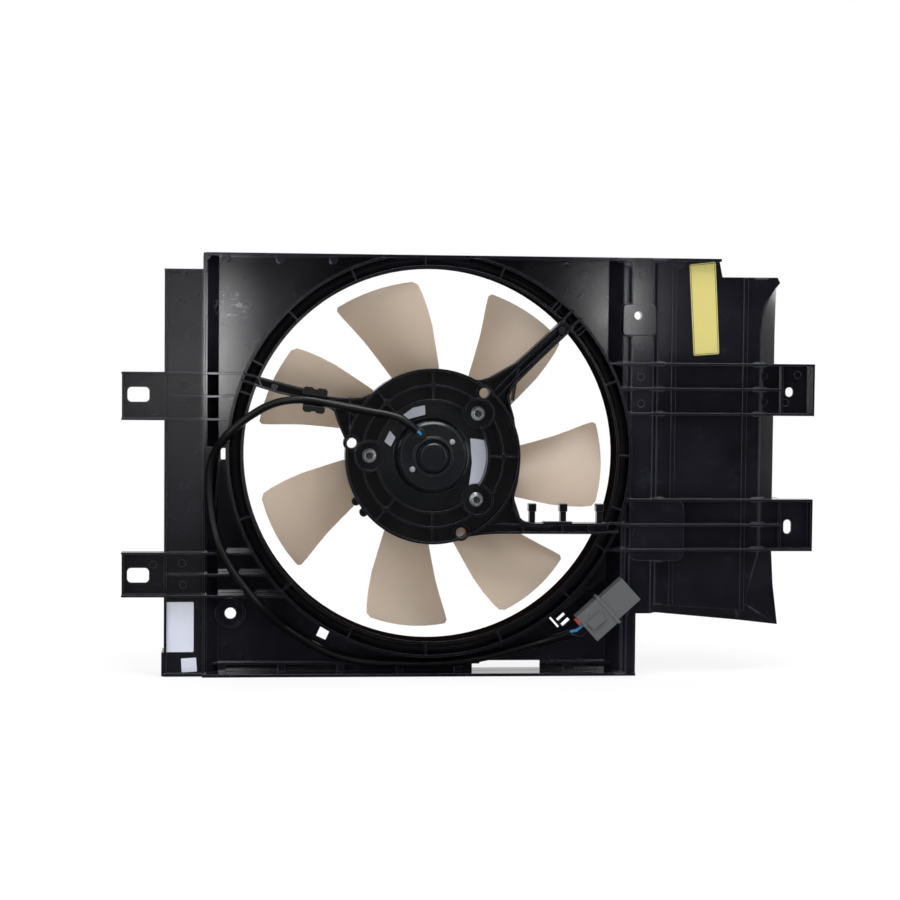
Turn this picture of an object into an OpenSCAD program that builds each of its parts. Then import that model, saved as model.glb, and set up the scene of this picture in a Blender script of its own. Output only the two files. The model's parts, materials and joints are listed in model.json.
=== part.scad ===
// Car radiator fan: moulded shroud, seven-blade fan wheel, short DC motor, lead and plug.
// +X is right and +Z is up as fitted, seen from the engine. The engine is on the -Y side.
// The origin is on the fan axis, in the plane of the rim that rests on the radiator (y = 0).
// Inside the modules a depth d is measured from that plane towards the engine, so y = -d.

/* [Shroud] */
// Left edge of the shroud, without its bracket ears
shroud_left = -219.5; // [-224:0.5:-214]
// Left edge of the deep pan
pan_left = -187.9; // [-190:0.1:-186]
// Right edge of the deep pan at the bottom
pan_right = 174.7; // [173:0.1:178]
// Top edge of the pan
pan_top = 165.5; // [164:0.5:172]
// Bottom edge of the pan
pan_bottom = -185.3; // [-189:0.1:-184]
// Top edge of the left strip
strip_top = 151.8; // [149:0.1:154]
// Right edge of the flat face of the raised right part
face_right = 279.7; // [276:0.1:284]
// Moulded wall thickness
wall = 2.5; // [2.2:0.1:2.8]
// Depth of the pan's floor, radiator side
pan_d = 13.5; // [12.5:0.1:14.5]
// Depth of the pan's outer walls
rim_d = 34; // [32.5:0.1:35]
// Depth of the left strip's face
strip_d = 26.5; // [26:0.1:27.5]
// Depth of the raised right part
ext_d = 28; // [27:0.1:29]
// Thickness of the stiffening ribs
rib_t = 1.8; // [1.4:0.1:2.2]
// Depth of the stiffening ribs' edges
rib_d = 36; // [35.5:0.1:37]
// Outer edge of the left ears
ear_left = -254.1; // [-258:0.1:-252]
// Outer edge of the right ears
ear_right = 324; // [320:0.1:328]

/* [Fan ring] */
// Inner radius of the fan ring
throat_r = 154.6; // [154:0.1:155.6]
// Width of the ring's channel, over both walls
channel_w = 13.9; // [13:0.1:15]
// Thickness of the ring's walls
ring_wall = 2.3; // [2:0.1:2.6]
// Depth of the channel's floor, radiator side
channel_d = 24; // [22:0.5:26]
// Depth of the ring's inner wall, which the arms stand on
throat_d = 44; // [43.4:0.1:44.8]
// Depth of the ring's outer wall
outer_d = 40; // [39:0.5:41]

/* [Motor carrier] */
// Outer radius of the carrier ring
carrier_r = 72; // [71:0.1:73]
// Radius of the carrier's opening
carrier_bore = 45.2; // [44.5:0.1:46]
// Depth of the carrier's floor, which the motor's end plate seats on
carrier_d = 46; // [45.6:0.1:46.4]
// Height of the carrier's outer wall over its floor
carrier_h = 16; // [14:0.5:18]
// Depth of the edges of the three arms
arm_d = 58; // [57:0.1:59]
// Thickness of the arms' edge walls
arm_t = 1.8; // [1.4:0.1:2.2]
// Radius of the circle of the three studs
stud_circle = 51.7; // [51.2:0.1:52.2]
// Radius of the circle of the three through holes
lug_circle = 67.2; // [66.8:0.1:67.4]
// Radius of the through holes
lug_hole_r = 4.2; // [3.8:0.1:4.5]
// Radius of the pockets that the nuts sit in
pocket_r = 11.4; // [10.8:0.1:11.8]

/* [Fan wheel] */
// Gap between the blade tips and the ring
tip_gap = 10.6; // [9.8:0.1:12]
// Gap between the hub's skirt and the motor can
hub_gap = 4; // [3:0.1:4.6]
// Thickness of the hub's skirt
hub_wall = 2.5; // [2:0.1:3]
// Length of the hub along the axis
hub_l = 30; // [28:0.5:31]
// Thickness of a blade at its root
blade_t = 3.4; // [2.6:0.1:4]
// Height of the curve across a blade
blade_bow = 4.2; // [3:0.1:5]

/* [Motor] */
// Radius of the motor can
can_r = 46; // [45.6:0.1:46.5]
// Length of the motor can
can_l = 28; // [27.5:0.1:28.5]
// Thickness of the can's sheet
can_t = 2; // [1.6:0.1:2.2]
// Thickness of the end plate
plate_t = 2.5; // [2.2:0.1:2.8]
// Height of the end plate's dome over the carrier's floor
dome_h = 16; // [15.6:0.1:16.4]
// Radius of the dome
dome_r = 29.5; // [29:0.1:30]
// Radius of the shaft
shaft_r = 4; // [3.6:0.1:4.4]
// Clearance of the shaft in its bearings
shaft_gap = 0.04; // [0.02:0.01:0.08]
// Radius of the armature
armature_r = 37; // [36:0.1:37.4]
// Gap between the armature and the magnets
air_gap = 1.2; // [0.8:0.1:1.6]
// Radius of the studs
stud_r = 2.5; // [2.3:0.1:2.6]

/* [Lead] */
// Radius of the sheath round the lead
sheath_r = 3.4; // [3:0.1:3.6]
// Radius of one wire
wire_r = 1.3; // [1.1:0.1:1.4]
// Width of the plug's body
plug_w = 26.8; // [25:0.2:28]
// Radius of the plug's pins
pin_r = 1; // [0.8:0.1:1.2]

/* [Hidden] */
$fn = 64;

// What seats on or fits something else follows it.
ring_r = throat_r + channel_w;
channel_top = channel_d + wall;
floor_top = pan_d + wall;
carrier_floor = carrier_d + wall;
carrier_top = carrier_d + carrier_h;
tip_r = throat_r - tip_gap;
hub_in = can_r + hub_gap;
hub_r = hub_in + hub_wall;
plate_d = carrier_d - plate_t;
can_d = plate_d - can_l;
hub_lead = 7.5;
hub_d = can_d - hub_lead;
washer_t = 1.4;
washer_d = hub_d - washer_t;
nut_l = 5.2;
nut_d = washer_d - nut_l;
boss_l = 6;
dome_d = carrier_d + dome_h;
stud_angles = [43, 180, -44];
lug_angles = [51, 171, 291];
hook_h = 8;

// Places of repeated pieces.
blade_angles = [54.5, 108.2, 155.2, 206.5, 261.8, 307.8, 356.2];
ring_rib_angles = [0, 22, 39.4, 40.7, 49.4, 50.7, 69, 92, 113.6, 135, 152.3, 161.8, 199, 222.8, 246,
  269, 291.3, 314.6, 331.8, 344.2];
left_ears = [[27.5, 67.1], [-118.4, -81.3]];
right_ears = [[34.4, 78], [-79.8, -36]];
left_slot_z = [48.4, -101.1];
right_slots = [[304.6, 54.3, 8], [304.8, -59.8, 12]];
rivets = [[15.6, 12.2], [-16.9, -10.4]];
lead_exit = [-10.8, 18.6];
plug_turn = 42.2;
plug_angle = -40.72;
plug_off = 26.78;
plug_depth = 44;
plug_at = [(ring_r + plug_off) * cos(plug_angle), plug_depth, (ring_r + plug_off) * sin(plug_angle)];

// Shared helpers.
module slab(d0, d1) {
  translate([0, -d0, 0]) rotate([90, 0, 0]) linear_extrude(d1 - d0) children();
}
module peg(x, z, d0, d1, r) {
  translate([x, -d0, z]) rotate([90, 0, 0]) cylinder(h = d1 - d0, r = r);
}
module on_circle(angles, r) {
  for (a = angles) translate([r * cos(a), 0, r * sin(a)]) children();
}
module turned(points) {
  rotate([90, 0, 0]) rotate_extrude() polygon(points);
}
module annulus(r0, r1, d0, d1) {
  turned([[r0, d0], [r1, d0], [r1, d1], [r0, d1]]);
}
module column(z0, z1, points) {
  translate([0, 0, z0]) linear_extrude(z1 - z0) polygon([for (p = points) [p[0], -p[1]]]);
}
module block(x0, x1, z0, z1, d0, d1) {
  translate([x0, -d1, z0]) cube([x1 - x0, d1 - d0, z1 - z0]);
}
module rib(a, b, t, d0, d1) {
  turn = atan2(b[1] - a[1], b[0] - a[0]);
  translate([a[0], 0, a[1]]) rotate([0, -turn, 0]) block(0, norm(b - a), -t / 2, t / 2, d0, d1);
}
module spoke_rib(angle, r0, r1, t, d0, d1) {
  rotate([0, -angle, 0]) block(r0, r1, -t / 2, t / 2, d0, d1);
}
module upright_slot(x, z, length, width, d0, d1) {
  e = (length - width) / 2;
  peg(x, z - e, d0, d1, width / 2);
  peg(x, z + e, d0, d1, width / 2);
  block(x - width / 2, x + width / 2, z - e, z + e, d0, d1);
}
module round_slot(x, z, length, width, r, d0, d1) {
  block(x - length / 2, x + length / 2, z - width / 2 + r, z + width / 2 - r, d0, d1);
  block(x - length / 2 + r, x + length / 2 - r, z - width / 2, z + width / 2, d0, d1);
  for (i = [-1, 1]) {
    for (k = [-1, 1]) {
      peg(x + i * (length / 2 - r), z + k * (width / 2 - r), d0, d1, r);
    }
  }
}

// A strip of width t to the left of a line of points, in the X, Z plane.
function side(a, b) = let (v = (b - a) / norm(b - a)) [-v[1], v[0]];
function bend(p, i) = i == 0 ? side(p[0], p[1])
  : i == len(p) - 1 ? side(p[i - 1], p[i])
  : let (s = side(p[i - 1], p[i]) + side(p[i], p[i + 1])) s * 2 / (s * s);
function strip(p, t) = concat([for (i = [0:len(p) - 1]) p[i] + bend(p, i) * t],
  [for (i = [len(p) - 1:-1:0]) p[i]]);

// A drafted shell between two outlines: low at depth d0, high at depth d1. The corner named by
// centre sees every other corner of both outlines.
function inset(p, t) = let (n = len(p)) [for (i = [0:n - 1])
  let (s = side(p[(i + n - 1) % n], p[i]) + side(p[i], p[(i + 1) % n])) p[i] + s * 2 * t / (s * s)];
module skirted(low, high, d0, d1, centre) {
  n = len(low);
  pts = concat([for (p = low) [p[0], -d0, p[1]]], [for (p = high) [p[0], -d1, p[1]]]);
  polyhedron(points = pts, faces = concat(
    [for (i = [1:n - 2]) [centre, (centre + i) % n, (centre + i + 1) % n]],
    [for (i = [1:n - 2]) [n + centre, n + (centre + i + 1) % n, n + (centre + i) % n]],
    [for (i = [0:n - 1]) [i, n + i, n + (i + 1) % n]],
    [for (i = [0:n - 1]) [i, n + (i + 1) % n, (i + 1) % n]]));
}

// Outlines of the raised right part, anticlockwise seen from the engine: foot, then face.
step_x = 150;
step_run = 16;
draft = 0.9;
notch_x = 243.4;
notch_z = 151.4;
foot_run = 18;
foot_z = -133;
foot_dip = [268, -142.4];
corner_z = -146.4;
fold_z = -112;
flare_z = [-80, 76, 147];
fold_curve = [[0.3, 104, 0], [2.6, 124, 0.3], [6.8, 134.4, 0.6], [11, 141.2, 0.9]];
corner_run = 24.3;
fold_run = 19.9;
top_run = 16.8;
ext_low = [[step_x, foot_z], [step_x + 26, foot_z - 1], foot_dip,
  [face_right + corner_run, corner_z], [face_right + fold_run, fold_z],
  [face_right + foot_run, flare_z[0]], [face_right + foot_run, flare_z[1]],
  for (p = fold_curve) [face_right + foot_run + p[2], p[1]],
  [face_right + top_run + 2.5, flare_z[2]], [face_right + top_run, notch_z + 0.2],
  [notch_x + 2.6, notch_z], [notch_x, pan_top], [step_x, pan_top]];
ext_high = [[step_x + 13, foot_z + 8.8], [step_x + 28, foot_z + 8.2], foot_dip + [-7, 12.2],
  [face_right - 10.3, corner_z + 20.4], [face_right - 8.7, fold_z],
  [face_right, flare_z[0] - 2], [face_right, flare_z[1] + 2],
  for (p = fold_curve) [face_right + p[0], p[1]],
  [face_right + top_run - 1.6, flare_z[2] - 0.8], [face_right + top_run - 3.9, notch_z - 0.8],
  [notch_x + 2.1, notch_z - 1], [notch_x - 0.8, pan_top - draft],
  [step_x + 13, pan_top - draft]];

notch_corner = 13;
module extension_shell() {
  difference() {
    skirted(ext_low, ext_high, 0, ext_d, notch_corner);
    skirted(inset(ext_low, wall), inset(ext_high, wall), -1, ext_d - wall, notch_corner);
    // The left side opens into the pan.
    block(step_x - 10, step_x + 12.7, pan_bottom + 5, pan_top + 14, -2, pan_d);
  }
}

// Left strip, its rim walls, its bottom box and the lip along the pan.
strip_bottom = pan_bottom + 1.8;
lip_h = 3.5;
module left_strip() {
  face = strip_d - wall;
  column(pan_bottom, pan_top, [[pan_left, face], [pan_left + 2.6, face], [pan_left + 10.9, pan_d],
    [pan_left + 15.9, pan_d], [pan_left + 11.9, floor_top + 0.5], [pan_left + 3.5, strip_d],
    [pan_left, strip_d]]);
  block(pan_left, pan_left + rib_t, pan_bottom, pan_top - 3, face, strip_d + lip_h);
  block(shroud_left, pan_left, strip_bottom, strip_top, face, strip_d);
  block(shroud_left, shroud_left + 2.2, strip_bottom, strip_top, 0, strip_d + 2);
  block(shroud_left, pan_left + 3, strip_top - wall, strip_top, 0, strip_d + lip_h + 1);
  block(shroud_left, pan_left + 3, pan_bottom + 0.3, pan_bottom + 2.8, 0, strip_d + lip_h);
  block(shroud_left - 2, shroud_left + 1, pan_bottom + 0.3, pan_bottom + 20.3, 0, strip_d + 2);
  block(pan_left, pan_left + 3, strip_top - wall, pan_top - 3, 0, rim_d);
  peg(pan_left + 3, pan_top - 3, 0, rim_d, 3);
}

// Raised right part with its upright column, right wall, ledges and pads.
column_x = [163, 191.5];
column_draft = 5;
pad_d = 35.2;
pads = [[174.4, 113.7, 30, 28, 4.5], [191.2, -62.6, 48.6, 52.6, 7.5]];
pad_slope = 1.3;
ledges = [[203, -127, 163], [264, -131, 150]];
ledge_t = 3.7;
ledge_h = 1.3;
corner_r = 10;
module corner_web() {
  // Rounds the corner between the pan's right wall and the foot of the raised part.
  up = ext_d - 4;
  rise = [0, up * 8.2 / ext_d];
  arc = [for (a = [8:24:80]) [pan_right + corner_r - corner_r * cos(a),
    foot_z - 2.2 - corner_r + corner_r * sin(a)]];
  low = concat([[pan_right - 1, foot_z + 1], [pan_right - 1, foot_z - corner_r - 3],
    [pan_right, foot_z - corner_r - 3]], arc,
    [[pan_right + corner_r + 3, foot_z - 2.1], [pan_right + corner_r + 3, foot_z - 0.2]]);
  skirted([for (i = [len(low) - 1:-1:0]) low[i]], [for (i = [len(low) - 1:-1:0]) low[i] + rise],
    0.6, up, len(low) - 1);
}
module right_part() {
  extension_shell();
  corner_web();
  column(-132.6, pan_top, [[column_x[0], ext_d - 1], [column_x[0] + column_draft, rim_d],
    [column_x[1] - column_draft, rim_d], [column_x[1], ext_d - 1]]);
  column(pan_bottom, -132.6, [[pan_right - 10.7, floor_top], [pan_right - 10.7, rim_d - 3],
    [pan_right - 8.7, rim_d], [pan_right - 2, rim_d], [pan_right, rim_d - 2], [pan_right, 0],
    [pan_right - wall, 0], [pan_right - wall, floor_top]]);
  for (p = ledges) block(p[0], p[0] + ledge_t, p[1], p[2], ext_d - 1, ext_d + ledge_h);
  for (p = pads) {
    skirted(rounded(p, 0), rounded(p, pad_slope), ext_d - 1, pad_d, 0);
  }
}
module pad_sleeve() {
  peg(pad_hole[0], pad_hole[1], ext_d - wall, pad_d - 1, pad_hole_r + wall + 1);
}
// Outline of a pad with round corners, drawn in by t.
function rounded(p, t) = [for (c = [0:3]) for (a = [0:30:90]) let (q = c * 90 + a,
  sx = c == 0 || c == 3 ? 1 : -1, sz = c < 2 ? 1 : -1)
  [p[0] + sx * (p[2] / 2 - p[4]) + (p[4] - t) * cos(q),
   p[1] + sz * (p[3] / 2 - p[4]) + (p[4] - t) * sin(q)]];
module right_part_hollows() {
  column(-120, pan_top - 5.5, [[column_x[0] + 8, channel_d], [column_x[0] + 9, rim_d - wall],
    [column_x[1] - 7.5, rim_d - wall], [column_x[1] - 4, channel_d]]);
  column(pan_bottom + wall, -137, [[pan_right - 8.2, -1], [pan_right - 8.2, rim_d - 3],
    [pan_right - wall, rim_d - wall], [pan_right - wall, -1]]);
}

// Ledge, gussets and posts along the top and bottom walls.
gusset_x = [-171.8, -122.2, -72.8, -22.7, 25.8, 118.7];
gusset_w = 6;
ledge_d = 21;
post_x = [-169.4, -125.1, -80.8, 116.5, 164.5, 208.8];
post_r = 3.3;
module edge_details() {
  block(pan_left + 7.9, 160, pan_bottom + 8.9, pan_bottom + 8.9 + rib_t, floor_top - 1,
    ledge_d);
  for (x = gusset_x) {
    block(x - gusset_w / 2, x + gusset_w / 2, pan_bottom + 1, pan_bottom + 10.3, floor_top - 1,
      ledge_d);
  }
  for (x = post_x) peg(x, pan_top - 4.5, floor_top - 1, rim_d - 1, post_r);
  peg(-204, strip_top - 4.2, strip_d - 1.5, strip_d + 4, 3.1);
}

// Bracket ears and the ribs that tie them to the fan ring.
module left_ear(z0, z1) {
  block(ear_left, shroud_left + 1, z0, z1, strip_d - wall, strip_d);
  block(ear_left, ear_left + rib_t, z0, z1, strip_d - wall, strip_d + 2.5);
  for (z = [z0 + rib_t / 2, (z0 + z1) / 2, z1 - rib_t / 2]) {
    inner = -sqrt(ring_r * ring_r - z * z);
    outer = abs(z - (z0 + z1) / 2) > 1 ? ear_left : shroud_left + 1.5;
    block(outer, inner, z - rib_t / 2, z + rib_t / 2, strip_d - 1, rib_d);
    block(pan_left + 1.9, inner + 4, z - rib_t / 2, z + rib_t / 2, floor_top - 1, rib_d);
  }
}
module right_ear(z0, z1) {
  block(face_right + 0.8, ear_right, z0, z1, strip_d - wall, strip_d);
  block(ear_right - rib_t, ear_right, z0, z1, strip_d - wall, rib_d);
  block(face_right + 16.9, face_right + 16.9 + rib_t, z0, z1, 5, ext_d + 2);
  for (z = [z0 + rib_t / 2, (z0 + z1) / 2, z1 - rib_t / 2]) {
    middle = abs(z - (z0 + z1) / 2) < 1;
    end = middle ? face_right + 17.7 : ear_right - rib_t / 2;
    block(step_x - 5, end, z - rib_t / 2, z + rib_t / 2, ext_d - 1, rib_d);
    block(step_x - 5, step_x + 15, z - rib_t / 2, z + rib_t / 2, floor_top - 1, rib_d);
    block(face_right - 3.7, end, z - rib_t / 2, z + rib_t / 2, strip_d - wall, rib_d);
    column(z - rib_t / 2, z + rib_t / 2, [[face_right - 1.7, ext_d - 2], [face_right + 17.3, 7],
      [face_right + 17.3, ext_d - 3], [face_right + 5.3, ext_d - 2]]);
  }
}

boss_at = [-164.9, -134];
boss_r = 12.6;
boss_h = 3;
boss_hole_r = 4.7;
pad_hole = [173.1, 117.4];
pad_hole_r = 3.5;
left_slot = [18, 12.2, 3.5];
left_slot_x = 13.3;
right_slot_w = 6.6;
plug_h = 16.2;
plug_under = plug_at[1] - 7.8;
core_hole = 4.3;
core_hole_angle = 239.86;
hook_hole_angle = -50.53;

module panel_pieces() {
  // Pan floor, bottom wall and the step up to the raised part.
  block(pan_left, step_x + 4, pan_bottom, pan_top, pan_d, floor_top);
  block(pan_left, pan_right, pan_bottom, pan_bottom + wall, 0, rim_d);
  column(pan_bottom, pan_top, [[step_x, pan_d], [step_x + 3, pan_d],
    [step_x + step_run, ext_d - wall - 0.3], [step_x + step_run, ext_d + 2],
    [step_x + step_run - 4, ext_d + 2], [step_x + 1, floor_top]]);
  left_strip();
  right_part();
  edge_details();
  peg(boss_at[0], boss_at[1], floor_top - 1, floor_top + boss_h, boss_r);
  for (e = left_ears) left_ear(e[0], e[1]);
  for (e = right_ears) right_ear(e[0], e[1]);
  // Hooks for the lead and the rest under the plug.
  block(pan_left + 1.9, pan_left + 10.3, -7, 5.5, pan_d + 0.5, 27);
  translate([pan_left + 11.9, 0, -25]) rotate([0, 5, 0]) {
    block(-rib_t / 2, rib_t / 2, -20, 19, floor_top - 1, floor_top + hook_h);
  }
  at_plug() block(-14, -6, -6, 6, pan_d + 0.5, plug_under);
}

module shroud_panel() {
  color("#1c1c20") difference() {
    union() {
      difference() {
        panel_pieces();
        peg(0, 0, -5, rib_d + 0.5, ring_r);
      }
      block(pan_left + 3, notch_x, pan_top - wall, pan_top, 0, rim_d);
    }
    difference() {
      right_part_hollows();
      pad_sleeve();
    }
    // Bolt holes and slots.
    peg(boss_at[0], boss_at[1], 0, 40, boss_hole_r);
    translate([boss_at[0], -floor_top, boss_at[1]]) rotate([90, 0, 0]) {
      cylinder(h = boss_h + 0.2, r1 = boss_hole_r + 1.3, r2 = boss_r - 1.6);
    }
    peg(pad_hole[0], pad_hole[1], 0, 40, pad_hole_r);
    for (z = left_slot_z) {
      round_slot(ear_left + left_slot_x, z, left_slot[0], left_slot[1], left_slot[2], 20, 40);
    }
    for (p = right_slots) upright_slot(p[0], p[1], p[2], right_slot_w, 20, 34);
    // Slot in the floor above the bottom wall, and the core holes behind the hooks.
    block(38.2, 96, pan_bottom + 2.6, pan_bottom + 8.7, 0, channel_d);
    block(44, 96, pan_bottom + 8.3, pan_bottom + 10.9, 0, channel_d);
    block(pan_left + 14.5, pan_left + 18.3, -5.4, 4, 5, 20);
    on_circle([core_hole_angle], ring_r + 6) rotate([0, 25, 0]) {
      block(-core_hole, core_hole, -core_hole, core_hole, 5, 20);
    }
    on_circle([hook_hole_angle], ring_r + 9) rotate([0, -plug_turn, 0]) {
      block(-8, -6.4, -6, 8, 5, 20);
      block(-4, 4, -2, 0.6, 5, 20);
      block(-4, 4, -8, -5, 5, 20);
    }
  }
}

// Fan ring: a channel between the throat and the outer wall, with ribs across it.
ring_fillet = 3.9;
ring_rib_t = 1.6;
module fan_ring() {
  r0 = throat_r + ring_wall;
  r1 = ring_r - ring_wall;
  f = ring_fillet;
  steps = [0:30:90];
  color("#202024") difference() {
    union() {
      turned(concat([[throat_r, pan_d], [r0, pan_d], [r0, channel_d], [r1, channel_d], [r1, pan_d],
        [ring_r, pan_d], [ring_r, outer_d], [r1, outer_d]],
        [for (a = steps) [r1 - f + f * cos(a), channel_top + f - f * sin(a)]],
        [for (a = steps) [r0 + f - f * sin(a), channel_top + f - f * cos(a)]],
        [[r0, throat_d], [throat_r, throat_d]]));
      for (a = ring_rib_angles) {
        spoke_rib(a, r0 - 0.4, r1 + 0.3, ring_rib_t, channel_top - 0.5, outer_d - 1.5);
      }
    }
    block(-60, 60, pan_top - wall, pan_top + 10, 10, 60);
  }
}

// The three arms. Each has two edges in the X, Z plane, the first drawn inwards and the second
// outwards, so that the arm lies to the left of both.
arms = [
  [[[119.6, 125.2], [110.5, 116.6], [78, 86], [67.7, 77], [56.3, 70.5], [47.1, 65.2],
    [39, 62.9], [29.8, 63.9], [20.6, 66]],
   [[68, 23.5], [66.8, 32.7], [64.1, 41.8], [62.8, 49.9], [65.6, 56.8], [73.6, 65.4],
    [87.4, 79.3], [110.7, 101.5], [127, 116.8]]],
  [[[-161.5, 62.1], [-142.2, 55.5], [-127.5, 51], [-108.7, 46.6], [-84.4, 38.5], [-81, 36.3],
    [-77.5, 26], [-72.9, 15.8], [-70, 8]],
   [[-34.4, 61.5], [-42.4, 56.9], [-50.3, 51.3], [-58.3, 47.8], [-67.4, 47.2], [-77.6, 47.6],
    [-86, 48.6], [-106.4, 55.2], [-144.1, 64.7], [-159, 68.4]]],
  [[[163, -54.8], [83.1, -54.8], [76.1, -53.1], [70.3, -47.9], [67.6, -39.9],
    [67.8, -31.8], [70.5, -21.4], [72, -10]],
   [[30, -66], [40.3, -64.4], [54.2, -63.5], [160, -63.7]]]];
web_t = 1.6;
web_d = arm_d - 1;
webs = [[[46.7, 50.3], [69.4, 73.8]], [[68.9, 73.3], [101, 103.6]], [[51.9, 47.5], [73, 70]],
  [[72.5, 69.5], [104.6, 99.8]], [[66, 46], [70, 76]],
  [[-68, 12], [-68, 48]], [[-60, 30], [-84, 46]], [[-84, 38.5], [-80, 48]],
  [[-142, 62], [-140, 56]], [[58.6, -38.7], [34.5, -61.8]], [[46.6, -55.2], [100, -57.4]],
  [[66, -32], [76, -62]], [[108, -62.5], [108, -56]], [[146, -62.5], [146, -56]]];
arm_bosses = [[105.4, 104.2], [-129.3, 56.2], [131.4, -59.2]];
arm_boss_r = 2.7;
foot_d = 48;

module arm_floors(d0, d1) {
  slab(d0, d1) for (a = arms) polygon(concat(a[0], a[1]));
}
module arm_edges(d0, d1) {
  slab(d0, d1) for (a = arms) for (edge = a) polygon(strip(edge, arm_t));
}
module arm_pieces() {
  // Floor, edge walls and bracing, from the carrier ring to the fan ring's inner wall.
  difference() {
    intersection() {
      union() {
        arm_floors(throat_d, throat_d + wall);
        arm_edges(throat_d, arm_d);
        for (w = webs) rib(w[0], w[1], web_t, throat_d + 1, web_d);
        for (b = arm_bosses) peg(b[0], b[1], throat_d + 1, web_d, arm_boss_r);
      }
      peg(0, 0, throat_d - 10, arm_d + 10, throat_r + ring_wall);
    }
    peg(0, 0, throat_d - 10, arm_d + 10, carrier_r - 1);
  }
  // The edge walls go on across the channel, lower, and stand in it.
  intersection() {
    arm_edges(throat_d, foot_d);
    annulus(throat_r, ring_r, throat_d - 10, arm_d);
  }
  intersection() {
    arm_edges(outer_d, throat_d);
    annulus(throat_r + ring_wall, ring_r, outer_d - 10, arm_d);
  }
}

// Lattice of the carrier ring, pockets round the studs and lugs.
lattice_r = 58;
lattice_h = 14;
lattice_angles = [0, 90, 131, 229, 270];
knot_angles = [0, 90, 131, 229];
knot_r = 2.6;
pocket_t = 1.7;
pocket_in = 39.5;
lug_r = 6.9;
lug_d = carrier_d + 10;
small_lug_angles = [211, 219.7];
small_lug_r = 3.4;
small_lug_h = 8;
stud_play = 0.4;
lead_hooks = [82.8, 108.6, 138.9];
module carrier_ring() {
  annulus(carrier_bore, carrier_r, carrier_d, carrier_floor);
  annulus(carrier_r - 2, carrier_r, throat_d, carrier_top);
  difference() {
    union() {
      annulus(lattice_r - 0.8, lattice_r + 0.9, carrier_d + 1, carrier_d + lattice_h);
      annulus(carrier_bore, carrier_bore + 1.8, carrier_d + 1, carrier_d + lattice_h);
      for (a = lattice_angles) {
        spoke_rib(a, carrier_bore + 0.8, carrier_r - 1, web_t, carrier_d + 1,
          carrier_d + lattice_h - 1);
      }
      on_circle(knot_angles, lattice_r + 0.1) {
        peg(0, 0, carrier_d + 1, carrier_d + lattice_h + 0.3, knot_r);
      }
    }
    on_circle(stud_angles, stud_circle) peg(0, 0, 40, 70, pocket_r + 0.6);
  }
  on_circle(stud_angles, stud_circle) difference() {
    peg(0, 0, carrier_d, carrier_d + lattice_h, pocket_r + pocket_t);
    peg(0, 0, carrier_floor, 70, pocket_r);
  }
}
module motor_carrier() {
  color("#232327") difference() {
    union() {
      difference() {
        carrier_ring();
        peg(0, 0, carrier_floor, 70, carrier_bore);
      }
      arm_pieces();
      // Upright hooks for the lead on the lower arm.
      for (x = lead_hooks) {
        block(x - 2.4, x + 2.4, -56, -40, 50, arm_d - 1);
        block(x - 3.2, x + 3.2, -45, -38.8, 50, arm_d);
      }
      block(92, 116, -55.4, -53.4, 50, arm_d);
      on_circle(lug_angles, lug_circle) peg(0, 0, carrier_d, lug_d, lug_r);
      on_circle(small_lug_angles, carrier_r + 0.85) {
        peg(0, 0, carrier_d, carrier_d + small_lug_h, small_lug_r);
      }
    }
    peg(0, 0, 30, 100, pocket_in);
    on_circle(stud_angles, stud_circle) peg(0, 0, 30, 70, stud_r + stud_play);
    on_circle(lug_angles, lug_circle) peg(0, 0, 30, 70, lug_hole_r);
  }
}

// One blade as a loft of thin curved sections, each turned about the fan axis. Columns: share
// of the way from hub to tip, start angle, end angle, depths at the start and at the end behind
// the front of the hub, thickness as a share of the root's.
blade_rows = [[-0.02, -27.5, 4.6, 26, 4, 1], [0.104, -25.2, 6.4, 27.5, 3.4, 0.94],
  [0.257, -22.6, 8.9, 28.5, 2.8, 0.88], [0.432, -20.1, 10.7, 29, 2.4, 0.82],
  [0.607, -18.3, 12.1, 29.2, 2.2, 0.76], [0.76, -16.4, 13.5, 29, 2.4, 0.7],
  [0.891, -14.7, 14.6, 28.4, 3, 0.65], [0.973, -13.4, 15, 27.6, 4, 0.59],
  [1, -11.6, 14.2, 26.4, 5.2, 0.53]];
blade_n = 8;
function blade_point(row, t, up) = let (
  r = hub_r + (tip_r - hub_r) * row[0],
  a = row[1] + (row[2] - row[1]) * t,
  half = up * blade_t * row[5] * (0.34 + 0.66 * sin(180 * t)) / 2,
  d = hub_d + row[3] + (row[4] - row[3]) * t + blade_bow * sin(180 * t) + half)
  [r * cos(a), -d, r * sin(a)];
function blade_ring(row) = concat([for (i = [0:blade_n]) blade_point(row, i / blade_n, 1)],
  [for (i = [blade_n:-1:0]) blade_point(row, i / blade_n, -1)]);
module blade(angle) {
  m = 2 * blade_n + 2;
  rows = len(blade_rows);
  pts = [for (row = blade_rows) each blade_ring(row)];
  strips = [for (j = [0:rows - 2]) for (i = [0:m - 1]) let (a = j * m + i, b = j * m + (i + 1) % m)
    each [[a, b, a + m], [b, b + m, a + m]]];
  foot = [for (i = [0:blade_n - 1]) each [[i, m - 1 - i, i + 1], [i + 1, m - 1 - i, m - 2 - i]]];
  e = (rows - 1) * m;
  head = [for (i = [0:blade_n - 1]) each [[e + i, e + i + 1, e + m - 1 - i],
    [e + i + 1, e + m - 2 - i, e + m - 1 - i]]];
  rotate([0, -angle, 0]) polyhedron(points = pts, faces = concat(strips, foot, head));
}

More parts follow.
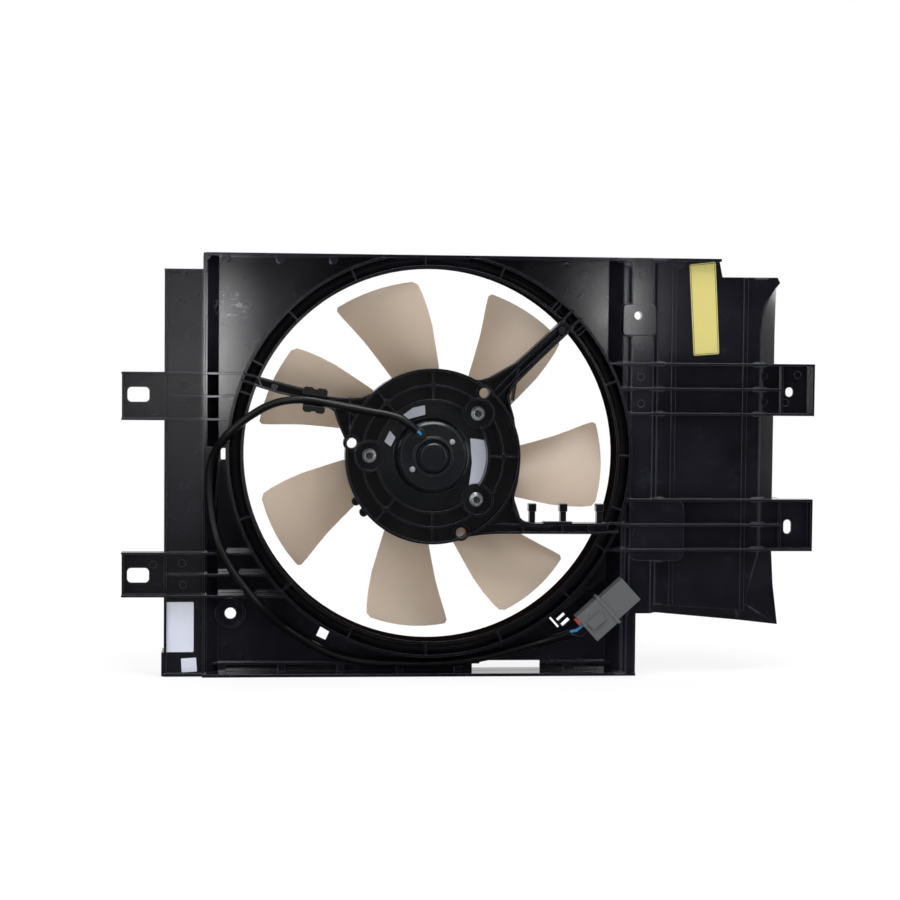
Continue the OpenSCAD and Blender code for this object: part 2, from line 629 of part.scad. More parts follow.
// Hub: a skirt round the can, a front disc with seven ribs behind it, and a boss on the shaft.
hub_floor = 2.6;
boss_r2 = 9;
pin_bore_r = 1.2;
drive_l = 16;
pin_play = 0.05;
pin_d = hub_d + 4.8;
module fan_wheel() {
  f = hub_d + hub_floor;
  color("#c4b7a6") difference() {
    union() {
      turned([[shaft_r, hub_d], [hub_r - 3, hub_d], [hub_r, hub_d + 3], [hub_r, hub_d + hub_l],
        [hub_in, hub_d + hub_l], [hub_in, f + 1.4], [hub_in - 1.4, f], [boss_r2 + 3, f],
        [boss_r2, f + 0.8], [boss_r2, hub_d + boss_l], [shaft_r, hub_d + boss_l]]);
      for (i = [0:6]) spoke_rib(i * 360 / 7, boss_r2 - 1, hub_in + 0.5, web_t, f - 0.6, f + 2.4);
      for (a = blade_angles) blade(a);
    }
    block(-drive_l / 2 - 0.6, drive_l / 2 + 0.6, -pin_bore_r - pin_play, pin_bore_r + pin_play,
      pin_d - pin_bore_r - 0.1, pin_d + 8);
  }
}
module fan_nut() {
  color("#b9bcc0") difference() {
    union() {
      slab(nut_d, washer_d) circle(r = 7.5, $fn = 6);
      peg(0, 0, washer_d - 1.2, washer_d, 8.4);
    }
    peg(0, 0, nut_d - 1, washer_d + 1, shaft_r);
  }
}
module fan_washer() {
  color("#a9adb2") annulus(shaft_r, 11, washer_d, hub_d);
}
module cross_pin(length) {
  translate([-length / 2, -pin_d, 0]) rotate([0, 90, 0]) cylinder(h = length, r = pin_bore_r);
}
module drive_pin() {
  color("#8f949a") cross_pin(drive_l);
}
shaft_back = dome_d + 5;
module shaft() {
  color("#b4b8bd") difference() {
    turned([[0, nut_d - 0.8], [shaft_r - 0.6, nut_d - 0.8], [shaft_r, nut_d - 0.2],
      [shaft_r, shaft_back - 0.6], [shaft_r - 0.6, shaft_back], [0, shaft_back]]);
    cross_pin(4 * shaft_r);
  }
}

// Motor can, open to the end plate, with a neck round the front bearing.
bush_r = 8;
bush_l = 7;
neck_l = 8.5;
vent_r = 2.6;
module motor_can() {
  f = can_d + can_t;
  neck = bush_r + 2.2;
  color("#26262a") difference() {
    turned([[bush_r - 2, can_d], [can_r - 3, can_d], [can_r, can_d + 3], [can_r, plate_d],
      [can_r - can_t, plate_d], [can_r - can_t, f + 2], [can_r - can_t - 2, f], [neck, f],
      [neck, f + neck_l], [bush_r, f + neck_l], [bush_r, f], [bush_r - 2, f]]);
    on_circle([45:90:315], 28) peg(0, 0, can_d - 5, can_d + 5, vent_r);
  }
}
module front_bearing() {
  color("#a8793e") annulus(shaft_r + shaft_gap, bush_r, can_d + can_t, can_d + can_t + bush_l);
}
cap_in = 9.8;
cap_t = 2;
module rear_bearing() {
  color("#a8793e") annulus(shaft_r + shaft_gap, cap_in, dome_d - 1.5, dome_d + 4);
}
module thrust_washers() {
  color("#d8d2c4") {
    annulus(shaft_r, 7, can_d + can_t + bush_l + 0.4, can_d + can_t + bush_l + 1.5);
    annulus(shaft_r, 7, dome_d - 3.8, dome_d - 1.8);
  }
}

// Armature: a slotted core, windings through its slots, and the commutator.
core_d = can_d + 11.5;
core_l = 12;
slot_r = 31;
slots = 12;
module armature_core() {
  color("#6f7277") difference() {
    annulus(shaft_r, armature_r, core_d, core_d + core_l);
    for (i = [0:slots - 1]) {
      peg(slot_r * cos(i * 360 / slots), slot_r * sin(i * 360 / slots), core_d - 5,
        core_d + core_l + 5, slot_hole_r);
      spoke_rib(i * 360 / slots, slot_r + 2, armature_r + 3, 2, core_d - 5, core_d + core_l + 5);
    }
  }
}
coil_in = 12.6;
coil_out = 34.4;
coil_front = 7.6;
coil_back = 3.6;
slot_hole_r = 3.6;
slot_wire_r = 3.3;
module windings() {
  b = core_d + core_l;
  f = core_d - coil_front;
  color("#a4562a") {
    turned([[coil_in, f + 1.2], [coil_in + 2.4, f], [coil_out - 3.4, f], [coil_out, f + 2.2],
      [coil_out, core_d], [coil_in, core_d]]);
    turned([[coil_in, b], [coil_out, b], [coil_out, b + coil_back / 2],
      [coil_out - 2.4, b + coil_back], [coil_in + 1.4, b + coil_back],
      [coil_in, b + coil_back * 2 / 3]]);
    on_circle([for (i = [0:slots - 1]) i * 360 / slots], slot_r) {
      peg(0, 0, core_d, core_d + core_l, slot_wire_r);
    }
  }
}
comm_r = 11.5;
comm_d = carrier_d - 0.5;
comm_l = 11.5;
module commutator() {
  color("#b87345") difference() {
    annulus(shaft_r, comm_r, comm_d, comm_d + comm_l);
    for (i = [0:slots - 1]) {
      spoke_rib((i + 0.5) * 360 / slots, comm_r - 0.8, comm_r + 1.5, 0.6, comm_d + 1.5,
        comm_d + comm_l + 1);
    }
  }
}
magnet_angle = 72;
module magnets() {
  r0 = armature_r + air_gap;
  r1 = can_r - can_t - 0.1;
  color("#4a4a4e") for (i = [0:3]) {
    rotate([0, -i * 90 - 9, 0]) rotate([90, 0, 0]) rotate_extrude(angle = magnet_angle) {
      polygon([[r0, can_d + 5.5], [r1, can_d + 5.5], [r1, plate_d - 1.5], [r0, plate_d - 1.5]]);
    }
  }
}

// End plate: a flat flange with three ears, and a dome with the rear bearing's cap.
flange_r = 49;
ear_r = 8;
neck_w = 13;
collar_r = 16.6;
module motor_end_plate() {
  in = dome_r - 2;
  color("#2b2b2f") difference() {
    union() {
      turned([[in, plate_d + 1], [dome_r + 4.5, plate_d + 1], [dome_r + 2, carrier_d],
        [dome_r + 0.5, carrier_d + 1.2], [dome_r, carrier_d + 3], [dome_r, dome_d - 4.5],
        [dome_r - 0.9, dome_d - 1.4], [dome_r - 2.9, dome_d], [collar_r, dome_d],
        [collar_r - 0.4, dome_d + 1.3], [collar_r - 1.2, dome_d + 2], [collar_r - 2.2, dome_d + 2],
        [collar_r - 3, dome_d + 1.3], [collar_r - 3.8, dome_d - 0.2],
        [cap_in + cap_t + 0.6, dome_d - 0.2], [cap_in + cap_t, dome_d + 0.6],
        [cap_in + cap_t, dome_d + 6], [cap_in + cap_t - 0.5, dome_d + 7.3],
        [cap_in + 0.4, dome_d + 8], [0, dome_d + 8],
        [0, dome_d + 6], [cap_in, dome_d + 6], [cap_in, dome_d - 2], [in - 1.5, dome_d - 2],
        [in, dome_d - 5]]);
      difference() {
        slab(plate_d, carrier_d) {
          circle(flange_r);
          for (a = stud_angles) rotate(a) {
            translate([stud_circle, 0]) circle(ear_r);
            translate([40, -neck_w / 2]) square([stud_circle - 40, neck_w]);
          }
        }
        peg(0, 0, plate_d - 3, carrier_d + 3, in);
      }
    }
    on_circle(stud_angles, stud_circle) peg(0, 0, plate_d - 3, carrier_d + 3, stud_r);
    for (p = rivets) peg(p[0], p[1], dome_d - 12, dome_d + 8, rivet_r);
    peg(lead_exit[0], lead_exit[1], dome_d - 12, dome_d + 8, grommet_r);
  }
}
rivet_r = 1.2;
grommet_r = 3.6;
module motor_rivets() {
  color("#c9ccd0") for (p = rivets) {
    translate([p[0], 0, p[1]]) turned([[0, dome_d - 12], [rivet_r, dome_d - 12],
      [rivet_r, dome_d], [rivet_r + 1.15, dome_d], [rivet_r + 0.7, dome_d + 1.2],
      [0, dome_d + 1.6]]);
  }
}

// Brush gear on a card inside the dome.
card_d = carrier_d + 1;
card_t = 2;
holder = [8.4, 12.8, 7.6];
brush = [6, 11, 5.2];
brush_play = 0.1;
holder_wall = 1;
module brush_card() {
  color("#5a3b22") difference() {
    annulus(comm_r + 1.5, dome_r - 2.2, card_d, card_d + card_t);
    for (p = rivets) peg(p[0], p[1], 40, 60, rivet_r + 0.1);
  }
}
holder_d = card_d + card_t;
holder_z = comm_r + 1.7;
module box_at(k, w, z0, z1, d0, d1) {
  block(-w / 2, w / 2, k > 0 ? z0 : -z1, k > 0 ? z1 : -z0, d0, d1);
}
module brush_holders() {
  w = holder_wall;
  color("#b08a4a") for (k = [-1, 1]) difference() {
    box_at(k, holder[0], holder_z, holder_z + holder[1], holder_d, holder_d + holder[2]);
    box_at(k, brush[0] + 2 * brush_play, holder_z - 1, holder_z + holder[1] - w - 0.2,
      holder_d + w, holder_d + w + brush[2] + 4 * brush_play);
  }
}
brush_d = holder_d + holder_wall + 2 * brush_play;
module brushes() {
  color("#3a3b3d") for (k = [-1, 1]) difference() {
    box_at(k, brush[0], comm_r - 2.5, comm_r - 2.5 + brush[1], brush_d, brush_d + brush[2]);
    peg(0, 0, 40, 70, comm_r + 0.06);
  }
}

// Tubes swept along lists of points.
function unit(v) = v / norm(v);
function along(p, i) = unit(p[min(i + 1, len(p) - 1)] - p[max(i - 1, 0)]);
function around(t, r, sides, up) = let (u = unit(cross(t, up)), w = cross(t, u))
  [for (k = [0:sides - 1]) r * (cos(k * 360 / sides) * u + sin(k * 360 / sides) * w)];
module swept(p, r, sides, up) {
  n = len(p);
  pts = [for (i = [0:n - 1]) for (v = around(along(p, i), r, sides, up)) p[i] + v];
  faces = concat([[for (k = [0:sides - 1]) k]],
    [[for (k = [sides - 1:-1:0]) (n - 1) * sides + k]],
    [for (i = [0:n - 2]) for (k = [0:sides - 1]) let (a = i * sides + k,
      b = i * sides + (k + 1) % sides) each [[a, a + sides, b], [b, a + sides, b + sides]]]);
  polyhedron(points = pts, faces = faces);
}
spring_r = 1.7;
spring_wire = 0.35;
module brush_springs() {
  z0 = comm_r - 2.5 + brush[1] + spring_wire + 0.1;
  z1 = holder_z + holder[1] - holder_wall - 0.2 - spring_wire - 0.05;
  color("#c2c5c9") for (k = [-1, 1]) {
    swept([for (i = [0:40]) [spring_r * cos(i * 36),
      -(brush_d + brush[2] / 2) - spring_r * sin(i * 36), k * (z0 + i * (z1 - z0) / 40)]],
      spring_wire, 6, [0, 0, 1]);
  }
}

// Studs through the end plate's ears and the carrier, with their flanged nuts.
nut_w = 4.62;
nut_flange = 5.9;
nut_h = 6.1;
stud_l = 12;
stud_head_r = 4.2;
stud_head_t = 1.9;
module motor_studs() {
  color("#9fa3a8") on_circle(stud_angles, stud_circle) {
    peg(0, 0, plate_d, carrier_d + stud_l, stud_r);
    peg(0, 0, plate_d - stud_head_t, plate_d, stud_head_r);
  }
}
module motor_nuts() {
  f = carrier_floor;
  color("#d3d6d9") on_circle(stud_angles, stud_circle) difference() {
    union() {
      turned([[0, f], [nut_flange, f], [nut_flange, f + 0.8], [nut_w, f + 1.6], [0, f + 1.6]]);
      slab(f + 1.1, f + nut_h) circle(r = nut_w, $fn = 6);
    }
    peg(0, 0, f - 5, f + 10, stud_r);
  }
}

// Lead, its grommet and its clip. The route's points are chosen by hand.
sheath_path = [[-14, -67, 21.6], [-19.6, -68.4, 26], [-27.8, -68, 31.4], [-39.9, -66.6, 34.8],
  [-48.1, -66.2, 36.1], [-58, -65.8, 37.9], [-68.4, -65.6, 39.7], [-78.5, -65, 41.6],
  [-88.6, -64.4, 43.6], [-98, -64.2, 45.3], [-107.5, -63.4, 46], [-118.5, -60.6, 45.1],
  [-127.6, -57, 43.1], [-137.1, -53, 39.2], [-145.2, -50, 34.4], [-152.5, -48.4, 29.4],
  [-160, -47.2, 23.2], [-167.1, -45.4, 16.4], [-173.7, -41, 8.4], [-179, -34, -0.8],
  [-181.6, -31.4, -11.7], [-182.3, -30.6, -21.6], [-182.2, -30.6, -34.1], [-181, -31.4, -45.7],
  [-178.8, -35, -58.8], [-175.4, -39.4, -71.3], [-171, -40.2, -81.9], [-165, -40.2, -92.7],
  [-158.4, -40.2, -102.6], [-150.2, -40.6, -113.1], [-141.1, -39.4, -124.5], [-131, -31, -134.6],
  [-119.4, -22, -144.9], [-105.4, -20.4, -154.3], [-92.6, -20.4, -162], [-80.3, -20.8, -167.6],
  [-68.3, -22.4, -171.2], [-54.6, -24.8, -173.4], [-39.8, -25.2, -174.6], [-23, -25.2, -175.2],
  [-6.1, -25.2, -175.4], [10.7, -25.2, -175.2], [27.6, -25.2, -173.6], [44.5, -24.4, -171.2],
  [61.4, -23.6, -167.4], [78.2, -24.4, -162.6], [94.9, -28, -157.6], [106, -33.4, -153.4],
  [113.2, -38.2, -150.6], [118, -41.4, -148.4]];
module lead_sheath() {
  color("#17171a") swept(sheath_path, sheath_r, 12, [0, 1, 0.08]);
}
motor_wire = [[-10.8, -57, 18.6], [-10.8, -63.8, 18.6], [-12.3, -66.56, 20.3],
  [-13.95, -66.98, 21.56]];
upper_wire = [[118.2, -41.2, -147.05], [119.9, -42.3, -146.3], [121.3, -43.3, -145.6]];
lower_wire = [[118.6, -42.15, -149.65], [120.2, -43, -149.5], [123, -43.7, -150.4]];
function in_plug(x, z) = [plug_at[0] + x * cos(plug_turn) - z * sin(plug_turn), -plug_at[1],
  plug_at[2] + x * sin(plug_turn) + z * cos(plug_turn)];
module lead_wires() {
  color("#2f7fb5") {
    swept(motor_wire, wire_r, 8, [1, 0, 0]);
    swept(concat(upper_wire, [in_plug(-plug_tail - 6, pin_z), in_plug(6 - plug_tail, pin_z)]),
      wire_r, 8, [0, 1, 0]);
    swept(concat(lower_wire, [in_plug(-plug_tail - 6, -pin_z), in_plug(6 - plug_tail, -pin_z)]),
      wire_r, 8, [0, 1, 0]);
  }
}
module lead_grommet() {
  b = wire_r + 0.1;
  color("#151517") translate([lead_exit[0], 0, lead_exit[1]]) turned([[b, dome_d - 3],
    [grommet_r + 0.9, dome_d - 3], [grommet_r + 0.9, dome_d - 2], [grommet_r, dome_d - 2],
    [grommet_r, dome_d], [grommet_r + 1.1, dome_d], [grommet_r + 1.1, dome_d + 0.9],
    [grommet_r + 0.2, dome_d + 1.4], [b, dome_d + 1.4]]);
}
clip_at = [-97.4, 45.3];
clip_turn = 7.5;
clip_w = 19;
jaw_h = 5.9;
jaw_l = 9;
module clip_jaw(w, h) {
  slab(arm_d, arm_d + jaw_l) polygon([[-w / 2, 0], [w / 2, 0], [w / 2, h - 1.8],
    [w / 2 - 1.6, h], [2.6, h], [1.6, h - 1.2], [-1.6, h - 1.2], [-2.6, h], [1.6 - w / 2, h],
    [-w / 2, h - 1.8]]);
}
module sheath_clip() {
  s = sheath_r + 1.2;
  color("#1b1b1e") translate([clip_at[0], 0, clip_at[1]]) rotate([0, clip_turn, 0]) {
    block(-clip_w / 2 + 1, clip_w / 2 - 1, -s - 4, s + 4, arm_d, arm_d + 2);
    translate([0, 0, s]) clip_jaw(clip_w + 1, jaw_h);
    translate([0.5, 0, -s]) mirror([0, 0, 1]) clip_jaw(clip_w - 1, jaw_h - 0.5);
  }
}

// Plug: a housing with a stepped rear, a latch, a seal and two pins.
seal_r = 3.2;
seal_l = 8;
pin_z = 3.5;
pin_l = 31;
mouth = [19.6, 10.6];
plug_tail = 24;
plug_nose = 26;
flange_t = 2.4;
flange_over = 1.2;
nose_step = 1.6;
module at_plug() {
  translate([plug_at[0], 0, plug_at[2]]) rotate([0, -plug_turn, 0]) children();
}
module plug_rod(x0, x1, z, r) {
  translate([x0, -plug_at[1], z]) rotate([0, 90, 0]) cylinder(h = x1 - x0, r = r);
}
module plug_housing() {
  u = plug_under;
  h = plug_w / 2;
  c = plug_at[1];
  color("#8f9698") at_plug() difference() {
    union() {
      block(-plug_tail, 1, -h, h, u, u + plug_h);
      block(-1, flange_t - 1, -h - flange_over, h + flange_over, u - 0.3, u + plug_h + 0.6);
      block(flange_t - 1, plug_nose, -h + nose_step, h - nose_step, u + nose_step / 2,
        u + plug_h - nose_step / 2);
      block(4 - plug_tail, 18 - plug_tail, -4, 4, u + plug_h - 0.4, u + plug_h + 2);
    }
    block(4, plug_nose + 1, -mouth[0] / 2, mouth[0] / 2, c - 5, c - 5 + mouth[1]);
    for (z = [-pin_z, pin_z]) {
      plug_rod(-plug_tail - 1, 9 - plug_tail, z, seal_r);
      plug_rod(8 - plug_tail, 6, z, pin_r);
    }
  }
}
latch_l = 2.6;
module plug_latch() {
  color("#a83232") at_plug() block(-plug_tail - latch_l, -plug_tail, 6.2, 12.4,
    plug_under + 9, plug_under + 15.4);
}
module plug_seal() {
  color("#5f6668") at_plug() for (z = [-pin_z, pin_z]) difference() {
    plug_rod(-plug_tail, seal_l - plug_tail, z, seal_r);
    plug_rod(-plug_tail - 1, seal_l + 1 - plug_tail, z, wire_r);
  }
}
module plug_pins() {
  color("#c3a65a") at_plug() for (z = [-pin_z, pin_z]) {
    plug_rod(9 - plug_tail, 9 - plug_tail + pin_l, z, pin_r);
  }
}

shroud_panel();
fan_ring();
motor_carrier();
fan_wheel();
fan_nut();
fan_washer();
drive_pin();
motor_can();
motor_end_plate();
shaft();
front_bearing();
rear_bearing();
armature_core();
windings();
commutator();
thrust_washers();
magnets();
brush_card();
brush_holders();
brushes();
brush_springs();
motor_studs();
motor_nuts();
motor_rivets();
lead_grommet();
lead_sheath();
lead_wires();
sheath_clip();
plug_housing();
plug_latch();
plug_seal();
plug_pins();
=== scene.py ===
import json
import math

import bmesh
import bpy
from mathutils import Matrix, Vector

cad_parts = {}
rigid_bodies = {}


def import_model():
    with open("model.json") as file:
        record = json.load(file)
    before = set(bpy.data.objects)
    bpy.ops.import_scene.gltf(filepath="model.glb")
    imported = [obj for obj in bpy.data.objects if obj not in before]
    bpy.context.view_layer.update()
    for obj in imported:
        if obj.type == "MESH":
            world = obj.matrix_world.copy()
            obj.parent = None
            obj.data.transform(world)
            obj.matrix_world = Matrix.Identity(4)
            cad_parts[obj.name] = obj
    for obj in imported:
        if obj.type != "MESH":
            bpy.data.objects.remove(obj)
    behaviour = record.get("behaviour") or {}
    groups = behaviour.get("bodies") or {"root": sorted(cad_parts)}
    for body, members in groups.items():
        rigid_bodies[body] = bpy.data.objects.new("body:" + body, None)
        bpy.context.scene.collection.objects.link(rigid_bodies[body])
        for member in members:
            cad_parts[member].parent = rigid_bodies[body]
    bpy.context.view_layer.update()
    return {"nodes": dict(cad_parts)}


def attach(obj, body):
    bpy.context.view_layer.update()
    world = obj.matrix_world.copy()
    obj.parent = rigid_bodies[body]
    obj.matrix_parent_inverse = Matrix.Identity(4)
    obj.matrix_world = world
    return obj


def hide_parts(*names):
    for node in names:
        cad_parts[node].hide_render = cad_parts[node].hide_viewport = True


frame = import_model()
nodes = frame["nodes"]


def mm(*values):
    return tuple(v / 1000 for v in values)


def clearSelection():
    if bpy.context.object and bpy.context.object.mode != "OBJECT":
        bpy.ops.object.mode_set(mode="OBJECT")
    bpy.ops.object.select_all(action="DESELECT")


# camera, floor and light: a plain white studio

cameraSettings = {
    "yaw": -5.202, "pitch": 2.775, "roll": 0.541,  # degrees, as the photograph was taken
    "distance": 1.7819, "target": (0.01804, -0.015, 0.00328),
    "lens": 84.85, "sensor": 36, "clip": (0.05, 60),
}


def addCamera(s):
    yaw, pitch, roll = (math.radians(s[k]) for k in ("yaw", "pitch", "roll"))
    back = Vector((math.sin(yaw) * math.cos(pitch), -math.cos(yaw) * math.cos(pitch), math.sin(pitch)))
    right = Vector((math.cos(yaw), math.sin(yaw), 0))
    up = back.cross(right)
    tiltedRight = right * math.cos(roll) + up * math.sin(roll)
    tiltedUp = up * math.cos(roll) - right * math.sin(roll)
    data = bpy.data.cameras.new("photoCamera")
    data.lens = s["lens"]
    data.sensor_width = s["sensor"]
    data.clip_start, data.clip_end = s["clip"]
    camera = bpy.data.objects.new("photoCamera", data)
    bpy.context.scene.collection.objects.link(camera)
    turn = Matrix((tiltedRight, tiltedUp, back)).transposed().to_4x4()
    camera.matrix_world = Matrix.Translation(Vector(s["target"]) + back * s["distance"]) @ turn
    bpy.context.scene.camera = camera


addCamera(cameraSettings)
bpy.context.scene.view_settings.view_transform = "Standard"
print("camera set")


def linear(code):
    # colours are written as sRGB hex
    values = [int(code[i:i + 2], 16) / 255 for i in (1, 3, 5)]
    return tuple(v / 12.92 if v <= 0.04045 else ((v + 0.055) / 1.055) ** 2.4 for v in values) + (1,)


def addNode(tree, kind, settings=None, **inputs):
    # a key such as n3 is an input's number, counted from 0, and any other key is its name;
    # a (node, output) pair is linked, and any other value is set
    node = tree.nodes.new(kind)
    for key, value in (settings or {}).items():
        setattr(node, key, value)
    for key, value in inputs.items():
        numbered = key[0] == "n" and key[1:].isdigit()
        socket = node.inputs[int(key[1:]) if numbered else key.replace("_", " ")]
        if isinstance(value, tuple) and isinstance(value[0], bpy.types.Node):
            tree.links.new(value[0].outputs[value[1]], socket)
        else:
            socket.default_value = value
    return node


def fromTo(low, high, start=0.0, end=1.0):
    # inputs of a Map Range: low to high becomes start to end
    return {"n1": low, "n2": high, "n3": start, "n4": end}


def newMaterial(name):
    material = bpy.data.materials.new(name)
    material.use_nodes = True
    tree = material.node_tree
    tree.nodes.clear()
    return material, tree


studio = {
    "floor": -0.1856, "floorSize": 14.0, "paper": "#F4F4F4",
    "softWhite": (0.45, 1.3), "shadowShare": 0.22,  # the floor turns pure white between these metres
    "horizon": 0.32, "zenith": 0.85, "skyHeights": (-0.1, 0.9),  # how bright the room is, low and high
    "darkSide": 0.02,  # what gloss sees of the camera's side; the backdrop is 1
    "backdrop": (0.55, 0.95),  # how far behind the object a direction points before gloss sees it white
    "overhead": (0.25, 0.95, 0.6),  # heights, and how bright gloss sees the top
    "lamps": {  # place, aim, width, height, watts
        "leftFlash": ((-0.23, -2.2, 0.085), (-0.16, 0, 0.085), 0.06, 0.24, 1.05),
        "rightFlash": ((0.52, -2.15, 0.165), (0.155, 0, 0.12), 0.045, 0.12, 0.32),
        "sideRight": ((1.3, -1.5, 0.25), (0.1, 0, 0), 0.12, 1.2, 4.5),
        "sideLeft": ((-1.3, -1.5, 0.35), (-0.1, 0, 0), 0.12, 1.2, 4.5),
        "foldLight": ((2.1, 1.0, 0.25), (0.2, 0, 0), 0.35, 1.3, 1.6),
        "topLight": ((0.1, -0.9, 2.1), (0.05, 0, 0), 1.6, 1.0, 34.0),
        "rearLight": ((0.6, 1.9, 1.2), (0, 0, 0), 1.6, 1.2, 14.0),
    },
}


def buildWorld(s):
    world = bpy.data.worlds.new("studioWorld")
    bpy.context.scene.world = world
    world.use_nodes = True
    tree = world.node_tree
    tree.nodes.clear()
    place = addNode(tree, "ShaderNodeTexCoord")
    axes = addNode(tree, "ShaderNodeSeparateXYZ", n0=(place, "Generated"))
    sky = addNode(tree, "ShaderNodeMapRange", n0=(axes, "Z"),
                  **fromTo(*s["skyHeights"], s["horizon"], s["zenith"]))
    rays = addNode(tree, "ShaderNodeLightPath")
    clear = addNode(tree, "ShaderNodeMath", {"operation": "MAXIMUM"},
                    n0=(rays, "Is Camera Ray"), n1=(rays, "Is Transmission Ray"))
    behind = addNode(tree, "ShaderNodeMapRange", n0=(axes, "Y"),
                     **fromTo(*s["backdrop"], s["darkSide"], 1.0))
    low, high, top = s["overhead"]
    above = addNode(tree, "ShaderNodeMapRange", n0=(axes, "Z"), **fromTo(low, high, 0.0, top))
    shown = addNode(tree, "ShaderNodeMath", {"operation": "MAXIMUM"},
                    n0=(behind, "Result"), n1=(above, "Result"))
    gloss = addNode(tree, "ShaderNodeMix", {"data_type": "FLOAT"},
                    n0=(rays, "Is Glossy Ray"), n2=(sky, "Result"), n3=(shown, "Value"))
    level = addNode(tree, "ShaderNodeMix", {"data_type": "FLOAT"},
                    n0=(clear, "Value"), n2=(gloss, "Result"), n3=1.0)
    light = addNode(tree, "ShaderNodeBackground", Strength=(level, "Result"), Color=(1, 1, 1, 1))
    addNode(tree, "ShaderNodeOutputWorld", Surface=(light, "Background"))


def buildFloor(s):
    clearSelection()
    bpy.ops.mesh.primitive_plane_add(size=s["floorSize"], location=(0, 0, s["floor"]))
    floor = bpy.context.object
    floor.name = "studioFloor"
    # matt paper: it keeps the shadow near the object and is plain white beyond
    material, tree = newMaterial("mattPaper")
    place = addNode(tree, "ShaderNodeTexCoord")
    far = addNode(tree, "ShaderNodeVectorMath", {"operation": "LENGTH"}, n0=(place, "Object"))
    share = addNode(tree, "ShaderNodeMapRange", n0=(far, "Value"),
                    **fromTo(*s["softWhite"], 1 - s["shadowShare"], 1.0))
    rays = addNode(tree, "ShaderNodeLightPath")
    clear = addNode(tree, "ShaderNodeMath", {"operation": "MAXIMUM"},
                    n0=(rays, "Is Camera Ray"), n1=(rays, "Is Transmission Ray"))
    axes = addNode(tree, "ShaderNodeSeparateXYZ", n0=(place, "Object"))
    bearing = addNode(tree, "ShaderNodeMath", {"operation": "DIVIDE"}, n0=(axes, "Y"), n1=(far, "Value"))
    behind = addNode(tree, "ShaderNodeMapRange", n0=(bearing, "Value"),
                     **fromTo(*s["backdrop"], s["darkSide"], 1.0))
    direct = addNode(tree, "ShaderNodeMath", {"operation": "MULTIPLY"},
                     n0=(clear, "Value"), n1=(share, "Result"))
    shown = addNode(tree, "ShaderNodeMath", {"operation": "MAXIMUM"},
                    n0=(direct, "Value"), n1=(rays, "Is Glossy Ray"))
    level = addNode(tree, "ShaderNodeMix", {"data_type": "FLOAT"},
                    n0=(rays, "Is Glossy Ray"), n2=1.0, n3=(behind, "Result"))
    paper = addNode(tree, "ShaderNodeBsdfDiffuse", Color=linear(s["paper"]))
    white = addNode(tree, "ShaderNodeEmission", Color=(1, 1, 1, 1), Strength=(level, "Result"))
    mix = addNode(tree, "ShaderNodeMixShader",
                  n0=(shown, "Value"), n1=(paper, "BSDF"), n2=(white, "Emission"))
    addNode(tree, "ShaderNodeOutputMaterial", Surface=(mix, "Shader"))
    floor.data.materials.append(material)


def addSoftbox(name, place, target, width, height, power):
    data = bpy.data.lights.new(name, "AREA")
    data.shape = "RECTANGLE"
    data.size = width
    data.size_y = height
    data.energy = power
    lamp = bpy.data.objects.new(name, data)
    bpy.context.scene.collection.objects.link(lamp)
    lamp.location = place
    lamp.rotation_euler = (Vector(target) - Vector(place)).to_track_quat("-Z", "Y").to_euler()
    lamp.visible_camera = False


buildWorld(studio)
buildFloor(studio)
for lampName, lampValues in studio["lamps"].items():
    addSoftbox(lampName, *lampValues)
print("studio set")


# finishes

surface = {
    "bumpDepth": 0.0001,  # metres
    "edgeTurn": (0.995, 0.75),  # cosines at which a rounded edge starts to show and shows fully
    "edgeSamples": 4,
    "fadeMm": 2.0, "ribClear": (0.6, 0.1),  # mm: how a fold's round band fades to its sides and below ribs
    "paintUneven": 0.05, "metalUneven": 0.08,
}
colourMix = {"data_type": "RGBA"}  # this Mix has its colours on inputs 6 and 7 and its result on output 2


def pattern(sizeMm, detail=3.0, rough=0.5):
    # sizeMm is the width of one patch of the noise
    return {"Scale": 1000 / sizeMm, "Detail": detail, "Roughness": rough}


def uneven(rough, spread, reach=(0.3, 0.7)):
    # gloss varies by spread to each side, over that part of a noise
    return fromTo(*reach, rough - spread, rough + spread)


def objectPlace(tree, scale=(1, 1, 1)):
    place = addNode(tree, "ShaderNodeTexCoord")
    return addNode(tree, "ShaderNodeMapping", n0=(place, "Object"), Scale=scale)


def edgeShare(tree, radius, strength):
    # how much a point lies on a rounded edge, soft normal against the flat one: the share of the edge
    # colour, which paints a highlight along rounded edges
    soft = addNode(tree, "ShaderNodeBevel", {"samples": surface["edgeSamples"]}, Radius=radius)
    flat = addNode(tree, "ShaderNodeNewGeometry")
    dot = addNode(tree, "ShaderNodeVectorMath", {"operation": "DOT_PRODUCT"},
                  n0=(soft, "Normal"), n1=(flat, "True Normal"))
    share = addNode(tree, "ShaderNodeMapRange", n0=(dot, "Value"),
                    **fromTo(*surface["edgeTurn"], 0.0, strength))
    return soft, share


